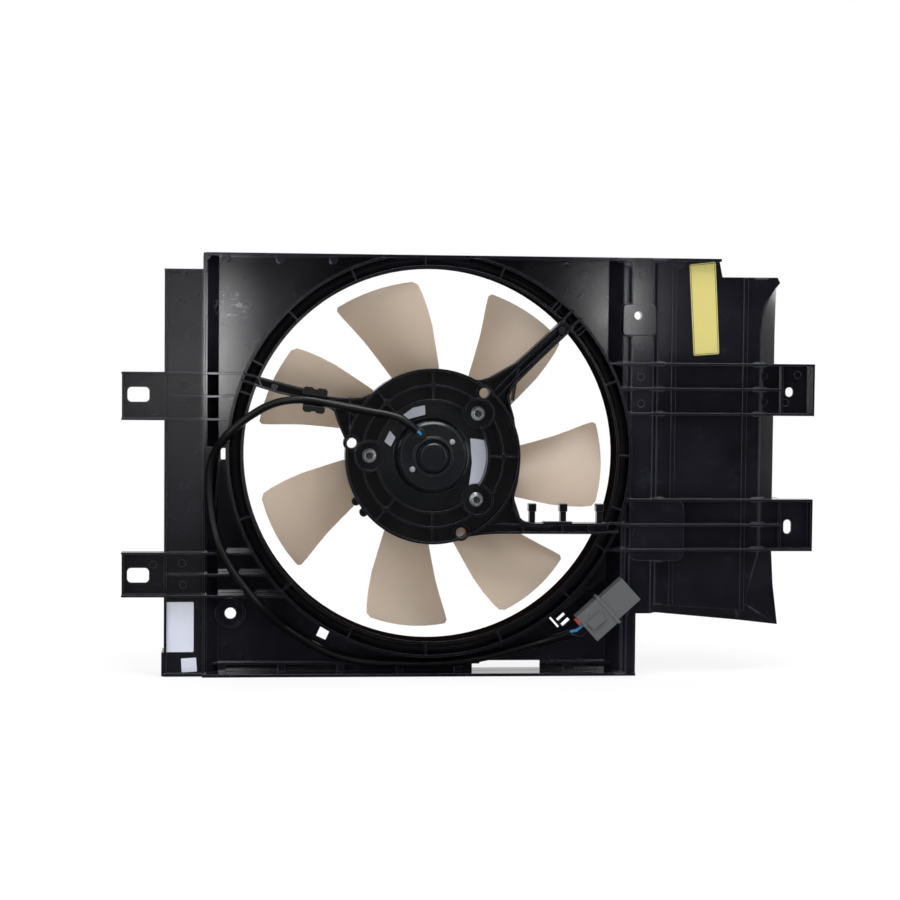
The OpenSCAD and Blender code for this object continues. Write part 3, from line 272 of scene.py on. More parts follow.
def foldRadius(tree, axes, look):
    # the long folds are rounder than the ribs: the bevel is wider in a band round each
    ribSide, foldSide = surface["ribClear"]
    total = 0.0
    for x, half, top in look["folds"]:
        away = addNode(tree, "ShaderNodeMath", {"operation": "SUBTRACT"}, n0=(axes, "X"), n1=x / 1000)
        gap = addNode(tree, "ShaderNodeMath", {"operation": "ABSOLUTE"}, n0=(away, "Value"))
        band = addNode(tree, "ShaderNodeMapRange", n0=(gap, "Value"),
                       **fromTo(half / 1000, (half + surface["fadeMm"]) / 1000, 1.0, 0.0))
        low = addNode(tree, "ShaderNodeMapRange", n0=(axes, "Y"),
                      **fromTo(-(top + ribSide) / 1000, -(top + foldSide) / 1000))
        here = addNode(tree, "ShaderNodeMath", {"operation": "MULTIPLY"},
                       n0=(band, "Result"), n1=(low, "Result"))
        most = addNode(tree, "ShaderNodeMath", {"operation": "MAXIMUM"}, n0=total, n1=(here, "Value"))
        total = (most, "Value")
    wide = addNode(tree, "ShaderNodeMapRange", n0=total,
                   **fromTo(0.0, 1.0, look["edgeMm"] / 1000, look["foldMm"] / 1000))
    return (wide, "Result")


def rubbed(tree, place, axes, before, s):
    # pale rub marks on the pan, in the place the photograph shows them
    flat = addNode(tree, "ShaderNodeCombineXYZ", n0=(axes, "X"), n2=(axes, "Z"))
    gap = addNode(tree, "ShaderNodeVectorMath", {"operation": "DISTANCE"},
                  n0=(flat, "Vector"), n1=(s["x"], 0, s["z"]))
    near = addNode(tree, "ShaderNodeMapRange", n0=(gap, "Value"), **fromTo(s["size"], s["size"] * s["core"]))
    inPan = addNode(tree, "ShaderNodeMapRange", n0=(axes, "X"), **fromTo(*s["panFrom"]))
    face = addNode(tree, "ShaderNodeMapRange", n0=(axes, "Y"), **fromTo(*s["face"]))
    rub = addNode(tree, "ShaderNodeTexNoise", Vector=(place, "Vector"), **s["noise"])
    share = addNode(tree, "ShaderNodeMapRange", n0=(rub, "Fac"), **fromTo(*s["marks"]))
    for mask in (near, inPan, face):
        share = addNode(tree, "ShaderNodeMath", {"operation": "MULTIPLY"},
                        n0=(share, 0), n1=(mask, "Result"))
    return addNode(tree, "ShaderNodeMix", colourMix, n0=(share, "Value"),
                   n6=(before, 2), n7=linear(s["colour"]))


def finishMaterial(tree, bump, soft, height, **inputs):
    raised = addNode(tree, "ShaderNodeBump", Strength=bump, Distance=surface["bumpDepth"],
                     Height=(height, "Fac"), Normal=(soft, "Normal"))
    shader = addNode(tree, "ShaderNodeBsdfPrincipled", Normal=(raised, "Normal"), **inputs)
    addNode(tree, "ShaderNodeOutputMaterial", Surface=(shader, "BSDF"))


def mouldedPlastic(name, look):
    # satin plastic with flow patches, a little dust and a painted highlight along its edges, duller where
    # look["matt"] says
    material, tree = newMaterial(name)
    place = objectPlace(tree)
    axes = addNode(tree, "ShaderNodeSeparateXYZ", n0=(place, "Vector"))
    flow = addNode(tree, "ShaderNodeTexNoise", Vector=(place, "Vector"), **pattern(look["flowMm"], 4.0, 0.6))
    grain = addNode(tree, "ShaderNodeTexNoise", Vector=(place, "Vector"), **pattern(look["grainMm"], 2.0))
    dust = addNode(tree, "ShaderNodeTexNoise", Vector=(place, "Vector"), **pattern(look["dustMm"], 6.0, 0.7))
    radius = foldRadius(tree, axes, look) if look["folds"] else look["edgeMm"] / 1000
    soft, edge = edgeShare(tree, radius, look["edgeShare"])
    patches = addNode(tree, "ShaderNodeMapRange", n0=(flow, "Fac"), **fromTo(*look["flowRange"]))
    base = addNode(tree, "ShaderNodeMix", colourMix, n0=(patches, "Result"),
                   n6=linear(look["dark"]), n7=linear(look["light"]))
    specks = addNode(tree, "ShaderNodeMapRange", n0=(dust, "Fac"),
                     **fromTo(*look["dustRange"], 0.0, look["dust"]))
    dusty = addNode(tree, "ShaderNodeMix", colourMix, n0=(specks, "Result"),
                    n6=(base, 2), n7=linear(look["dustColour"]))
    # rounded edges take the paler edge colour: a painted highlight along them
    paintedEdgeTone = addNode(tree, "ShaderNodeMix", colourMix, n0=(edge, "Result"),
                   n6=(dusty, 2), n7=linear(look["edge"]))
    # real rub marks go over the painted edge highlight
    if look["scuff"]:
        paintedEdgeTone = rubbed(tree, place, axes, paintedEdgeTone, look["scuff"])
    gloss = addNode(tree, "ShaderNodeMapRange", n0=(flow, "Fac"),
                    **uneven(look["rough"], look["uneven"], look["glossRange"]))
    axis, start, end, extra = look["matt"]
    matt = addNode(tree, "ShaderNodeMapRange", n0=(axes, axis),
                   **fromTo(start / 1000, end / 1000, 0.0, extra))
    roughness = addNode(tree, "ShaderNodeMath", {"operation": "ADD"},
                        n0=(gloss, "Result"), n1=(matt, "Result"))
    finishMaterial(tree, look["bump"], soft, grain, Base_Color=(paintedEdgeTone, 2),
                   Roughness=(roughness, "Value"), Specular_IOR_Level=look["specular"])
    return material


def speckled(name, look):
    # an even body colour with fine speckle and patchy gloss
    material, tree = newMaterial(name)
    place = objectPlace(tree)
    grain = addNode(tree, "ShaderNodeTexNoise", Vector=(place, "Vector"), **pattern(look["grainMm"]))
    patch = addNode(tree, "ShaderNodeTexNoise", Vector=(place, "Vector"), **pattern(look["patchMm"]))
    soft, edge = edgeShare(tree, look["edgeMm"] / 1000, look.get("edgeShare", 0.3))
    base = addNode(tree, "ShaderNodeMix", colourMix, n0=(grain, "Fac"),
                   n6=linear(look["dark"]), n7=linear(look["light"]))
    # rounded edges take the edge colour: a painted highlight where it is paler than the body, painted shade
    # where it is darker, as on the label films
    paintedEdgeTone = addNode(tree, "ShaderNodeMix", colourMix, n0=(edge, "Result"),
                   n6=(base, 2), n7=linear(look["edge"]))
    gloss = addNode(tree, "ShaderNodeMapRange", n0=(patch, "Fac"),
                    **uneven(look["rough"], surface["paintUneven"]))
    finishMaterial(tree, look["bump"], soft, grain, Base_Color=(paintedEdgeTone, 2), Roughness=(gloss, "Result"),
                   Specular_IOR_Level=look.get("specular", 0.5))
    return material


def milkyNylon(name, look):
    # milky beige, warmer where it is thick near the hub
    material, tree = newMaterial(name)
    place = objectPlace(tree)
    cloud = addNode(tree, "ShaderNodeTexNoise", Vector=(place, "Vector"), **pattern(look["cloudMm"], 2.0))
    grain = addNode(tree, "ShaderNodeTexNoise", Vector=(place, "Vector"), **pattern(look["grainMm"], 2.0))
    soft, edge = edgeShare(tree, look["edgeMm"] / 1000, look["edgeShare"])
    axes = addNode(tree, "ShaderNodeSeparateXYZ", n0=(place, "Vector"))
    flat = addNode(tree, "ShaderNodeCombineXYZ", n0=(axes, "X"), n2=(axes, "Z"))
    radius = addNode(tree, "ShaderNodeVectorMath", {"operation": "LENGTH"}, n0=(flat, "Vector"))
    out = addNode(tree, "ShaderNodeMapRange", n0=(radius, "Value"),
                  **fromTo(look["hubMm"] / 1000, look["tipMm"] / 1000))
    base = addNode(tree, "ShaderNodeMix", colourMix, n0=(out, "Result"),
                   n6=linear(look["warm"]), n7=linear(look["pale"]))
    clouded = addNode(tree, "ShaderNodeMix", colourMix, n0=(cloud, "Fac"),
                      n6=(base, 2), n7=linear(look["cloud"]))
    # rounded edges take the paler edge colour: a painted highlight along the blade edges
    paintedEdgeTone = addNode(tree, "ShaderNodeMix", colourMix, n0=(edge, "Result"),
                   n6=(clouded, 2), n7=linear(look["edge"]))
    finishMaterial(tree, look["bump"], soft, grain, Base_Color=(paintedEdgeTone, 2), Roughness=look["rough"],
                   Subsurface_Weight=look["scatter"], Subsurface_Radius=look["scatterDepth"],
                   Subsurface_Scale=look["scatterScale"])
    return material


def metal(name, look):
    # turned, plated or drawn metal
    material, tree = newMaterial(name)
    place = objectPlace(tree, look.get("stretch", (1, 1, 1)))
    lines = addNode(tree, "ShaderNodeTexNoise", Vector=(place, "Vector"),
                    **pattern(look["grainMm"], 4.0, 0.7))
    stain = addNode(tree, "ShaderNodeTexNoise", Vector=(place, "Vector"), **pattern(look["stainMm"]))
    soft, edge = edgeShare(tree, look["edgeMm"] / 1000, look.get("edgeShare", 0.5))
    base = addNode(tree, "ShaderNodeMix", colourMix, n0=(stain, "Fac"),
                   n6=linear(look["dark"]), n7=linear(look["light"]))
    # rounded edges and thread crests take the paler edge colour: a painted highlight
    paintedEdgeTone = addNode(tree, "ShaderNodeMix", colourMix, n0=(edge, "Result"),
                   n6=(base, 2), n7=linear(look["edge"]))
    gloss = addNode(tree, "ShaderNodeMapRange", n0=(lines, "Fac"),
                    **uneven(look["rough"], surface["metalUneven"]))
    finishMaterial(tree, look.get("bump", 0.12), soft, lines, Base_Color=(paintedEdgeTone, 2),
                   Roughness=(gloss, "Result"), Metallic=look.get("metallic", 1.0))
    return material


# a fine matt grain, about 0.1 mm on the real mouldings and metals, is drawn near 1 mm so that it shows

shroudLook = {
    "dark": "#0D0D12", "light": "#1A1A21", "edge": "#565863", "dustColour": "#50505A",
    "flowMm": 55, "flowRange": (0.25, 0.75), "grainMm": 0.9, "bump": 0.1,
    "dustMm": 14, "dustRange": (0.56, 0.74), "dust": 0.08, "edgeMm": 0.6, "edgeShare": 0.8,
    "rough": 0.11, "uneven": 0.03, "glossRange": (0.2, 0.8), "specular": 0.4,
    "matt": ("X", -187, -190, 0.14),  # axis, from and to in mm, added roughness: the left strip is duller
    "folds": [[163.0, 5.0, 34.0], [191.5, 5.0, 34.0], [279.0, 5.0, 28.0]],  # X, half width and depth, mm
    "foldMm": 3.5,
    "scuff": {  # metres
        "x": -0.164, "z": 0.1235, "size": 0.017, "core": 0.3, "colour": "#A9AAB4",
        "panFrom": (-0.182, -0.178), "face": (-0.0145, -0.0155),  # in the pan, and on its engine face only
        "noise": {"Scale": 110.0, "Detail": 5.0, "Roughness": 0.6, "Distortion": 1.6},
        "marks": (0.55, 0.64, 0.0, 0.32),
    },
}
carrierLook = dict(shroudLook, dark="#0A0A0C", light="#101014", flowMm=30, dust=0.04, rough=0.2,
                   folds=[], scuff=None, matt=("Y", -54, -50, 0.25))
ringLook = dict(carrierLook, dark="#060608", light="#0B0B0F", flowMm=40, rough=0.22,
                matt=("Y", -40, -34, 0.2))
clipLook = dict(carrierLook, rough=0.36, matt=("Y", -54, -50, 0.1))
throatLook = dict(ringLook, dark="#0B0807", light="#120D0B", edge="#3A3A40", specular=0.0,
                  matt=("Y", -42, -38, 0.4))

finishTable = {
    # polypropylene, injection moulded: satin black, soft flow patches, a faint bloom and a painted highlight
    # along its edges
    "shroudPolypropylene": (mouldedPlastic, shroudLook),
    "carrierPolypropylene": (mouldedPlastic, carrierLook),
    "ringPolypropylene": (mouldedPlastic, ringLook),
    # the same moulding beside the blade tips, rubbed dull by dust: it throws no light back
    "throatPolypropylene": (mouldedPlastic, throatLook),
    # nylon clip, moulded with a matt skin
    "clipNylon": (mouldedPlastic, clipLook),
    # unfilled nylon, injection moulded: milky beige, light soaks a little into the blades
    "bladeNylon": (milkyNylon, {
        "warm": "#A99683", "pale": "#C2B2A2", "cloud": "#B5A492", "edge": "#D6CBBD", "edgeShare": 0.35,
        "cloudMm": 60, "grainMm": 0.8, "edgeMm": 0.6, "hubMm": 55, "tipMm": 144, "rough": 0.42,
        "bump": 0.15, "scatter": 0.15, "scatterDepth": (0.004, 0.003, 0.002), "scatterScale": 0.6}),
    # black enamel on drawn steel: glossier than the plastic, with a cold tone
    "motorEnamel": (speckled, {
        "dark": "#0C0E12", "light": "#13151A", "edge": "#565A62", "grainMm": 0.7, "patchMm": 25,
        "edgeMm": 1.0, "edgeShare": 0.7, "rough": 0.24, "bump": 0.15}),
    # zinc plate, partly matt: it stays pale even where it faces the dark, with a white painted highlight on
    # its chamfers
    "zincSteel": (metal, {
        "dark": "#A2A5AA", "light": "#CDD0D4", "edge": "#FFFFFF", "grainMm": 0.5, "stainMm": 6,
        "edgeMm": 0.45, "edgeShare": 1.0, "rough": 0.3, "metallic": 0.55}),
    # phosphated stud steel: dark grey, with a painted highlight on the thread's crests
    "phosphatedSteel": (metal, {
        "dark": "#2A2B2E", "light": "#44464A", "edge": "#B9BBBE", "grainMm": 0.4, "stainMm": 3,
        "edgeMm": 0.3, "rough": 0.4, "metallic": 0.7}),
    # ground steel: clean and fairly bright
    "groundSteel": (metal, {
        "dark": "#8D9197", "light": "#B8BCC1", "edge": "#DADCDF", "grainMm": 0.4, "stainMm": 8,
        "edgeMm": 0.2, "rough": 0.26}),
    # sintered bronze: brown, porous and dull
    "sinteredBronze": (metal, {
        "dark": "#7C5A30", "light": "#A8793E", "edge": "#C79A5C", "grainMm": 0.5, "stainMm": 4,
        "edgeMm": 0.2, "rough": 0.45}),
    # stacked steel sheets, punched: grey, with fine lines across the stack
    "stackedSteel": (metal, {
        "dark": "#55585D", "light": "#7A7D82", "edge": "#9A9DA2", "grainMm": 0.6, "stainMm": 9,
        "edgeMm": 0.2, "rough": 0.42, "stretch": (0.1, 1, 0.1), "bump": 0.4}),
    # enamelled copper wire, wound: dark orange and lumpy
    "enamelCopper": (metal, {
        "dark": "#7E3A18", "light": "#B4622F", "edge": "#D98A55", "grainMm": 0.7, "stainMm": 5,
        "edgeMm": 0.3, "rough": 0.3, "bump": 0.5}),
    # rolled brass: yellow and bright
    "rolledBrass": (metal, {
        "dark": "#A88B45", "light": "#CDB060", "edge": "#E6CF8C", "grainMm": 0.4, "stainMm": 4,
        "edgeMm": 0.2, "rough": 0.25}),
    # acetal washers, punched: off-white, waxy
    "paleAcetal": (speckled, {
        "dark": "#CFC8B8", "light": "#DDD7CA", "edge": "#F0ECE2", "grainMm": 0.6, "patchMm": 6,
        "edgeMm": 0.2, "rough": 0.5, "bump": 0.1}),
    # pressed ferrite: charcoal, dull, with a gritty face
    "pressedFerrite": (speckled, {
        "dark": "#3A3A3D", "light": "#505054", "edge": "#6C6C70", "grainMm": 0.5, "patchMm": 8,
        "edgeMm": 0.3, "rough": 0.6, "bump": 0.3}),
    # paper laminate, punched: brown and fibrous
    "paperLaminate": (speckled, {
        "dark": "#4A2E1B", "light": "#6A452B", "edge": "#8A6243", "grainMm": 0.8, "patchMm": 9,
        "edgeMm": 0.2, "rough": 0.5, "bump": 0.2}),
    # pressed carbon: dark grey, grainy
    "pressedCarbon": (speckled, {
        "dark": "#2B2C2E", "light": "#45464A", "edge": "#66686C", "grainMm": 0.4, "patchMm": 5,
        "edgeMm": 0.2, "rough": 0.6, "bump": 0.3}),
    # moulded rubber: black and soft to the eye
    "blackRubber": (speckled, {
        "dark": "#101012", "light": "#18181A", "edge": "#2C2C30", "grainMm": 0.6, "patchMm": 12,
        "edgeMm": 0.3, "rough": 0.5, "bump": 0.15}),
    # extruded vinyl sleeve: black with a long soft shine
    "sleeveVinyl": (speckled, {
        "dark": "#050507", "light": "#0B0B0E", "edge": "#222226", "grainMm": 1.2, "patchMm": 25,
        "edgeMm": 0.2, "rough": 0.4, "bump": 0.2}),
    # blue vinyl wire: clear blue, smooth
    "blueVinyl": (speckled, {
        "dark": "#2A72A8", "light": "#3A8CC2", "edge": "#6FB4DC", "grainMm": 0.8, "patchMm": 6,
        "edgeMm": 0.2, "rough": 0.34, "bump": 0.1, "specular": 0.6}),
    # moulded nylon of the plug: mid grey with a matt skin and a painted highlight along its edges
    "greyNylon": (speckled, {
        "dark": "#4E5051", "light": "#5C5E5F", "edge": "#8A8D8D", "grainMm": 0.8, "patchMm": 14,
        "edgeMm": 0.4, "edgeShare": 0.6, "rough": 0.5, "bump": 0.2}),
    # moulded nylon of the latch: dull red
    "redNylon": (speckled, {
        "dark": "#8C2B2B", "light": "#A83A3A", "edge": "#C86A6A", "grainMm": 0.8, "patchMm": 6,
        "edgeMm": 0.2, "rough": 0.45, "bump": 0.15}),
    # silicone seal: grey-green, matt
    "siliconeRubber": (speckled, {
        "dark": "#5A6062", "light": "#6C7274", "edge": "#8C9294", "grainMm": 0.6, "patchMm": 6,
        "edgeMm": 0.2, "rough": 0.6, "bump": 0.15}),
    # label film: bluish white, a little shiny
    "whiteFilm": (speckled, {
        "dark": "#C6CAD8", "light": "#D2D6E4", "edge": "#B8BCC8", "grainMm": 1.0, "patchMm": 18,
        "edgeMm": 0.2, "rough": 0.45, "bump": 0.08}),
    # label film, yellow: a little shiny
    "yellowFilm": (speckled, {
        "dark": "#C3B868", "light": "#D0C67A", "edge": "#B0A55C", "grainMm": 1.0, "patchMm": 18,
        "edgeMm": 0.2, "rough": 0.42, "bump": 0.08}),
    # printed line: dark olive where ink lies on the yellow
    "printedInk": (speckled, {
        "dark": "#4A4632", "light": "#565239", "edge": "#565239", "grainMm": 0.8, "patchMm": 8,
        "edgeMm": 0.1, "rough": 0.5, "bump": 0.05}),
}
finishes = {name: make(name, look) for name, (make, look) in finishTable.items()}
print("materials made:", len(finishes))

nodeFinish = {
    "shroud_panel": "shroudPolypropylene", "fan_ring": "ringPolypropylene",
    "motor_carrier": "carrierPolypropylene",
    "fan_wheel": "bladeNylon", "fan_nut": "zincSteel", "fan_washer": "zincSteel",
    "drive_pin": "groundSteel", "motor_can": "motorEnamel", "motor_end_plate": "motorEnamel",
    "shaft": "groundSteel", "front_bearing": "sinteredBronze", "rear_bearing": "sinteredBronze",
    "armature_core": "stackedSteel", "windings": "enamelCopper", "commutator": "enamelCopper",
    "thrust_washers": "paleAcetal", "magnets": "pressedFerrite", "brush_card": "paperLaminate",
    "brush_holders": "rolledBrass", "brushes": "pressedCarbon", "brush_springs": "groundSteel",
    "motor_studs": "phosphatedSteel", "motor_nuts": "zincSteel", "motor_rivets": "zincSteel",
    "lead_grommet": "blackRubber", "lead_sheath": "sleeveVinyl", "lead_wires": "blueVinyl",
    "sheath_clip": "clipNylon", "plug_housing": "greyNylon", "plug_latch": "redNylon",
    "plug_seal": "siliconeRubber", "plug_pins": "rolledBrass",
}
for nodeName, finish in nodeFinish.items():
    for materialSlot in nodes[nodeName].material_slots:
        materialSlot.material = finishes[finish]
print("nodes dressed")


# small helpers for the pieces made here

def startEdit(obj, kind="VERT"):
    bpy.context.view_layer.objects.active = obj
    bpy.ops.object.mode_set(mode="EDIT")
    bpy.ops.mesh.select_mode(type=kind)
    bpy.ops.mesh.select_all(action="DESELECT")


def selectFront(obj, depthMm, slackMm=0.01):
    # the faces that lie at that depth, towards the engine
    edit = bmesh.from_edit_mesh(obj.data)
    for face in edit.faces:
        face.select = face.calc_center_median().y < -(depthMm - slackMm) / 1000
    edit.select_flush_mode()
    bmesh.update_edit_mesh(obj.data)


def closeShape(weld):
    # ends an edit: doubles within weld metres are merged and every face points outwards
    bpy.ops.mesh.select_all(action="SELECT")
    bpy.ops.mesh.remove_doubles(threshold=weld)
    bpy.ops.mesh.normals_make_consistent(inside=False)
    bpy.ops.object.mode_set(mode="OBJECT")


def joinCopies(copies):
    clearSelection()
    for copy in copies:
        copy.select_set(True)
    bpy.context.view_layer.objects.active = copies[0]
    bpy.ops.object.join()


def addCopy(model, name, place):
    copy = bpy.data.objects.new(name, model.data.copy())
    bpy.context.scene.collection.objects.link(copy)
    copy.location = place
    return copy


def finishPiece(obj, name, finish, body="shroud"):
    clearSelection()
    obj.name = name
    obj.data.name = name
    obj.data.materials.clear()
    obj.data.materials.append(finishes[finish])
    obj.select_set(True)
    bpy.context.view_layer.objects.active = obj
    bpy.ops.object.transform_apply(location=True, rotation=True, scale=True)
    clearSelection()
    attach(obj, body)


# nodes with round faces: each is copied, merged and shaded smooth, and the copy stands for it

roundNodes = {  # node: body, slot, greatest angle that is shaded smooth
    "fan_wheel": ("rotor", "fan_plastic", 42),
    "fan_ring": ("shroud", "black_moulding", 32),
    "motor_carrier": ("shroud", "black_moulding", 32),
    "shroud_panel": ("shroud", "black_moulding", 32),
    "motor_can": ("shroud", "motor_paint", 32),
    "motor_end_plate": ("shroud", "motor_paint", 32),
}
throat = {"radius": 0.1562, "slope": 0.6}  # metres, and how far a wall's normal may lean along the axis
copyWeld = 0.000002  # metres, joins the loose triangles of a copy


def smoothCopy(nodeName, body, slotName, angle):
    clearSelection()
    piece = bpy.data.objects.new(nodeName + "Smooth", nodes[nodeName].data.copy())
    bpy.context.scene.collection.objects.link(piece)
    piece.select_set(True)
    bpy.context.view_layer.objects.active = piece
    if piece.data.has_custom_normals:
        bpy.ops.mesh.customdata_custom_splitnormals_clear()
    startEdit(piece)
    bpy.ops.mesh.select_all(action="SELECT")
    bpy.ops.mesh.remove_doubles(threshold=copyWeld)
    bpy.ops.object.mode_set(mode="OBJECT")
    bpy.ops.object.shade_smooth_by_angle(angle=math.radians(angle))
    bpy.ops.object.modifier_add(type="WEIGHTED_NORMAL")  # keeps the large flat faces flat beside the curves
    piece.modifiers[-1].keep_sharp = True
    bpy.ops.object.modifier_apply(modifier=piece.modifiers[-1].name)
    finishPiece(piece, nodeName + "Smooth", nodeFinish[nodeName], body)
    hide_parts(nodeName)


for nodeName, values in roundNodes.items():
    smoothCopy(nodeName, *values)
ringCopy = bpy.data.objects["fan_ringSmooth"]
ringCopy.data.materials.append(finishes["throatPolypropylene"])
for face in ringCopy.data.polygons:
    inside = math.hypot(face.center.x, face.center.z) < throat["radius"]
    face.material_index = int(inside and abs(face.normal.y) < throat["slope"])
print("round nodes smoothed:", len(roundNodes))


# the lead: a loose vinyl sleeve over two wires, held along its route

lead = {
    "sleeveRadius": 3.4, "wireRadius": 1.3,  # mm
    "slack": 0.05, "swells": (0.61, 0.17),  # how much the sleeve narrows between its swells, and their pace
    "sleeveSteps": 4, "wireSteps": 3, "roundness": 6,
    "weld": 0.00001, "smooth": 50,  # metres and degrees
    "sleeve": [  # metres, from the motor to the plug, as in the CAD
        (-0.014, -0.067, 0.0216), (-0.0196, -0.0684, 0.026), (-0.0278, -0.068, 0.0314),
        (-0.0399, -0.0666, 0.0348), (-0.0481, -0.0662, 0.0361), (-0.058, -0.0658, 0.0379),
        (-0.0684, -0.0656, 0.0397), (-0.0785, -0.065, 0.0416), (-0.0886, -0.0644, 0.0436),
        (-0.098, -0.0642, 0.0453), (-0.1075, -0.0634, 0.046), (-0.1185, -0.0606, 0.0451),
        (-0.1276, -0.057, 0.0431), (-0.1371, -0.053, 0.0392), (-0.1452, -0.05, 0.0344),
        (-0.1525, -0.0484, 0.0294), (-0.16, -0.0472, 0.0232), (-0.1671, -0.0454, 0.0164),
        (-0.1737, -0.041, 0.0084), (-0.179, -0.034, -0.0008), (-0.1816, -0.0314, -0.0117),
        (-0.1823, -0.0306, -0.0216), (-0.1822, -0.0306, -0.0341), (-0.181, -0.0314, -0.0457),
        (-0.1788, -0.035, -0.0588), (-0.1754, -0.0394, -0.0713), (-0.171, -0.0402, -0.0819),
        (-0.165, -0.0402, -0.0927), (-0.1584, -0.0402, -0.1026), (-0.1502, -0.0406, -0.1131),
        (-0.1411, -0.0394, -0.1245), (-0.131, -0.031, -0.1346), (-0.1194, -0.022, -0.1449),
        (-0.1054, -0.0204, -0.1543), (-0.0926, -0.0204, -0.162), (-0.0803, -0.0208, -0.1676),
        (-0.0683, -0.0224, -0.1712), (-0.0546, -0.0248, -0.1734), (-0.0398, -0.0252, -0.1746),
        (-0.023, -0.0252, -0.1752), (-0.0061, -0.0252, -0.1754), (0.0107, -0.0252, -0.1752),
        (0.0276, -0.0252, -0.1736), (0.0445, -0.0244, -0.1712), (0.0614, -0.0236, -0.1674),
        (0.0782, -0.0244, -0.1626), (0.0949, -0.028, -0.1576), (0.106, -0.0334, -0.1534),
        (0.1132, -0.0382, -0.1506), (0.118, -0.0414, -0.1484),
    ],
    "motorWire": [
        (-0.0108, -0.057, 0.0186), (-0.0108, -0.0638, 0.0186), (-0.0123, -0.06656, 0.0203),
        (-0.01395, -0.06698, 0.02156),
    ],
    "upperWire": [
        (0.1182, -0.0412, -0.14705), (0.1199, -0.0423, -0.1463), (0.1213, -0.0433, -0.1456),
        (0.12342, -0.044, -0.14496), (0.13231, -0.044, -0.1369),
    ],
    "lowerWire": [
        (0.1186, -0.04215, -0.14965), (0.1202, -0.043, -0.1495), (0.123, -0.0437, -0.1504),
        (0.12813, -0.044, -0.15015), (0.13702, -0.044, -0.14208),
    ],
    "wireFinish": {"motorWire": "blueVinyl", "upperWire": "blueVinyl", "lowerWire": "sleeveVinyl"},
}


def roundedRoute(points, steps):
    # more points on a smooth line through the given ones
    places = [Vector(p) for p in points]
    ends = [places[0] * 2 - places[1]] + places + [places[-1] * 2 - places[-2]]
    line = []
    for a, b, c, d in zip(ends, ends[1:], ends[2:], ends[3:]):
        for k in range(steps):
            t = k / steps
            curve = (2 * a - 5 * b + 4 * c - d) * t * t + (3 * b - a - 3 * c + d) * t ** 3
            line.append(0.5 * (2 * b + (c - a) * t + curve))
    return line + [places[-1]]


def tube(name, points, radiusMm, steps, slack=0.0):
    clearSelection()
    line = roundedRoute(points, steps)
    data = bpy.data.curves.new(name, "CURVE")
    data.dimensions = "3D"
    data.bevel_depth = radiusMm / 1000
    data.bevel_resolution = lead["roundness"]
    data.use_fill_caps = True
    spline = data.splines.new("POLY")
    spline.points.add(len(line) - 1)
    quick, slow = lead["swells"]
    for k, place in enumerate(line):
        spline.points[k].co = (*place, 1)
        spline.points[k].radius = 1 - slack * (0.5 + 0.5 * math.sin(k * quick) * math.sin(k * slow + 1))
    obj = bpy.data.objects.new(name, data)
    bpy.context.scene.collection.objects.link(obj)
    obj.select_set(True)
    bpy.context.view_layer.objects.active = obj
    bpy.ops.object.convert(target="MESH")
    obj = bpy.context.object
    startEdit(obj)
    closeShape(lead["weld"])
    bpy.ops.object.shade_smooth_by_angle(angle=math.radians(lead["smooth"]))
    return obj


sleeve = tube("leadSleeve", lead["sleeve"], lead["sleeveRadius"], lead["sleeveSteps"], lead["slack"])
finishPiece(sleeve, "leadSleeve", "sleeveVinyl")
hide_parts("lead_sheath")
for key, wireFinish in lead["wireFinish"].items():
    wire = tube(key, lead[key], lead["wireRadius"], lead["wireSteps"])
    finishPiece(wire, key, wireFinish)
    if key == "motorWire":
        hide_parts("lead_wires")
print("lead made:", len(lead["wireFinish"]), "wires")


# plain stickers, without print

stickers = {
    "thick": 0.18, "cornerSteps": 4, "border": (0.7, 0.5),  # mm; the border is how far in and how wide
    "plates": {  # depth and rounding of the corners in mm, finish, corners as X and Z in mm
        "stripLabel": (26.5, 1.0, "whiteFilm", [
            (-218.0, -123.3), (-218.0, -165.0), (-195.0, -165.0), (-195.0, -123.3)]),
        "stripTag": (26.5, 0.4, "whiteFilm", [
            (-205.3, -170.4), (-204.7, -182.0), (-192.1, -181.3), (-192.9, -169.6)]),
        "yellowPlate": (28.0, 1.5, "yellowFilm", [
            (217.1, 160.7), (221.8, 84.2), (243.6, 85.9), (239.4, 163.2)]),
        "motorLabelRight": (46.0, 0.6, "whiteFilm", [
            (31.9, 14.5), (33.5, -6.0), (31.2, -24.6), (35.0, -26.6), (40.6, -27.0),
            (46.8, -16.0), (47.6, -2.0), (45.0, 12.6), (38.0, 13.9)]),
        "motorLabelTop": (46.0, 0.6, "whiteFilm", [
            (-27.4, 30.6), (-23.9, 28.9), (-5.5, 33.9), (-5.9, 41.6), (-16.0, 39.4)]),
        "motorLabelLeft": (46.0, 0.6, "whiteFilm", [
            (-34.6, 20.5), (-39.1, 11.4), (-33.8, 7.4), (-29.9, 14.9)]),
    },
}


def moveCorner(obj, index, goal):
    edit = bmesh.from_edit_mesh(obj.data)
    edit.verts.ensure_lookup_table()
    bpy.ops.mesh.select_all(action="DESELECT")
    edit.verts[index].select = True
    edit.select_flush_mode()
    bmesh.update_edit_mesh(obj.data)
    bpy.ops.transform.translate(value=goal - edit.verts[index].co)


def printBorder(obj, depth, thick, line):
    # a thin printed line round the sticker's face
    obj.data.materials.append(finishes["printedInk"])
    startEdit(obj, "FACE")
    selectFront(obj, depth + thick)
    for width in line:
        bpy.ops.mesh.inset(thickness=width / 1000)
    edit = bmesh.from_edit_mesh(obj.data)
    middle = next(f for f in edit.faces if f.select)
    for face in {f for e in middle.edges for f in e.link_faces if f is not middle}:
        face.material_index = 1
    bmesh.update_edit_mesh(obj.data)
    bpy.ops.object.mode_set(mode="OBJECT")
    clearSelection()


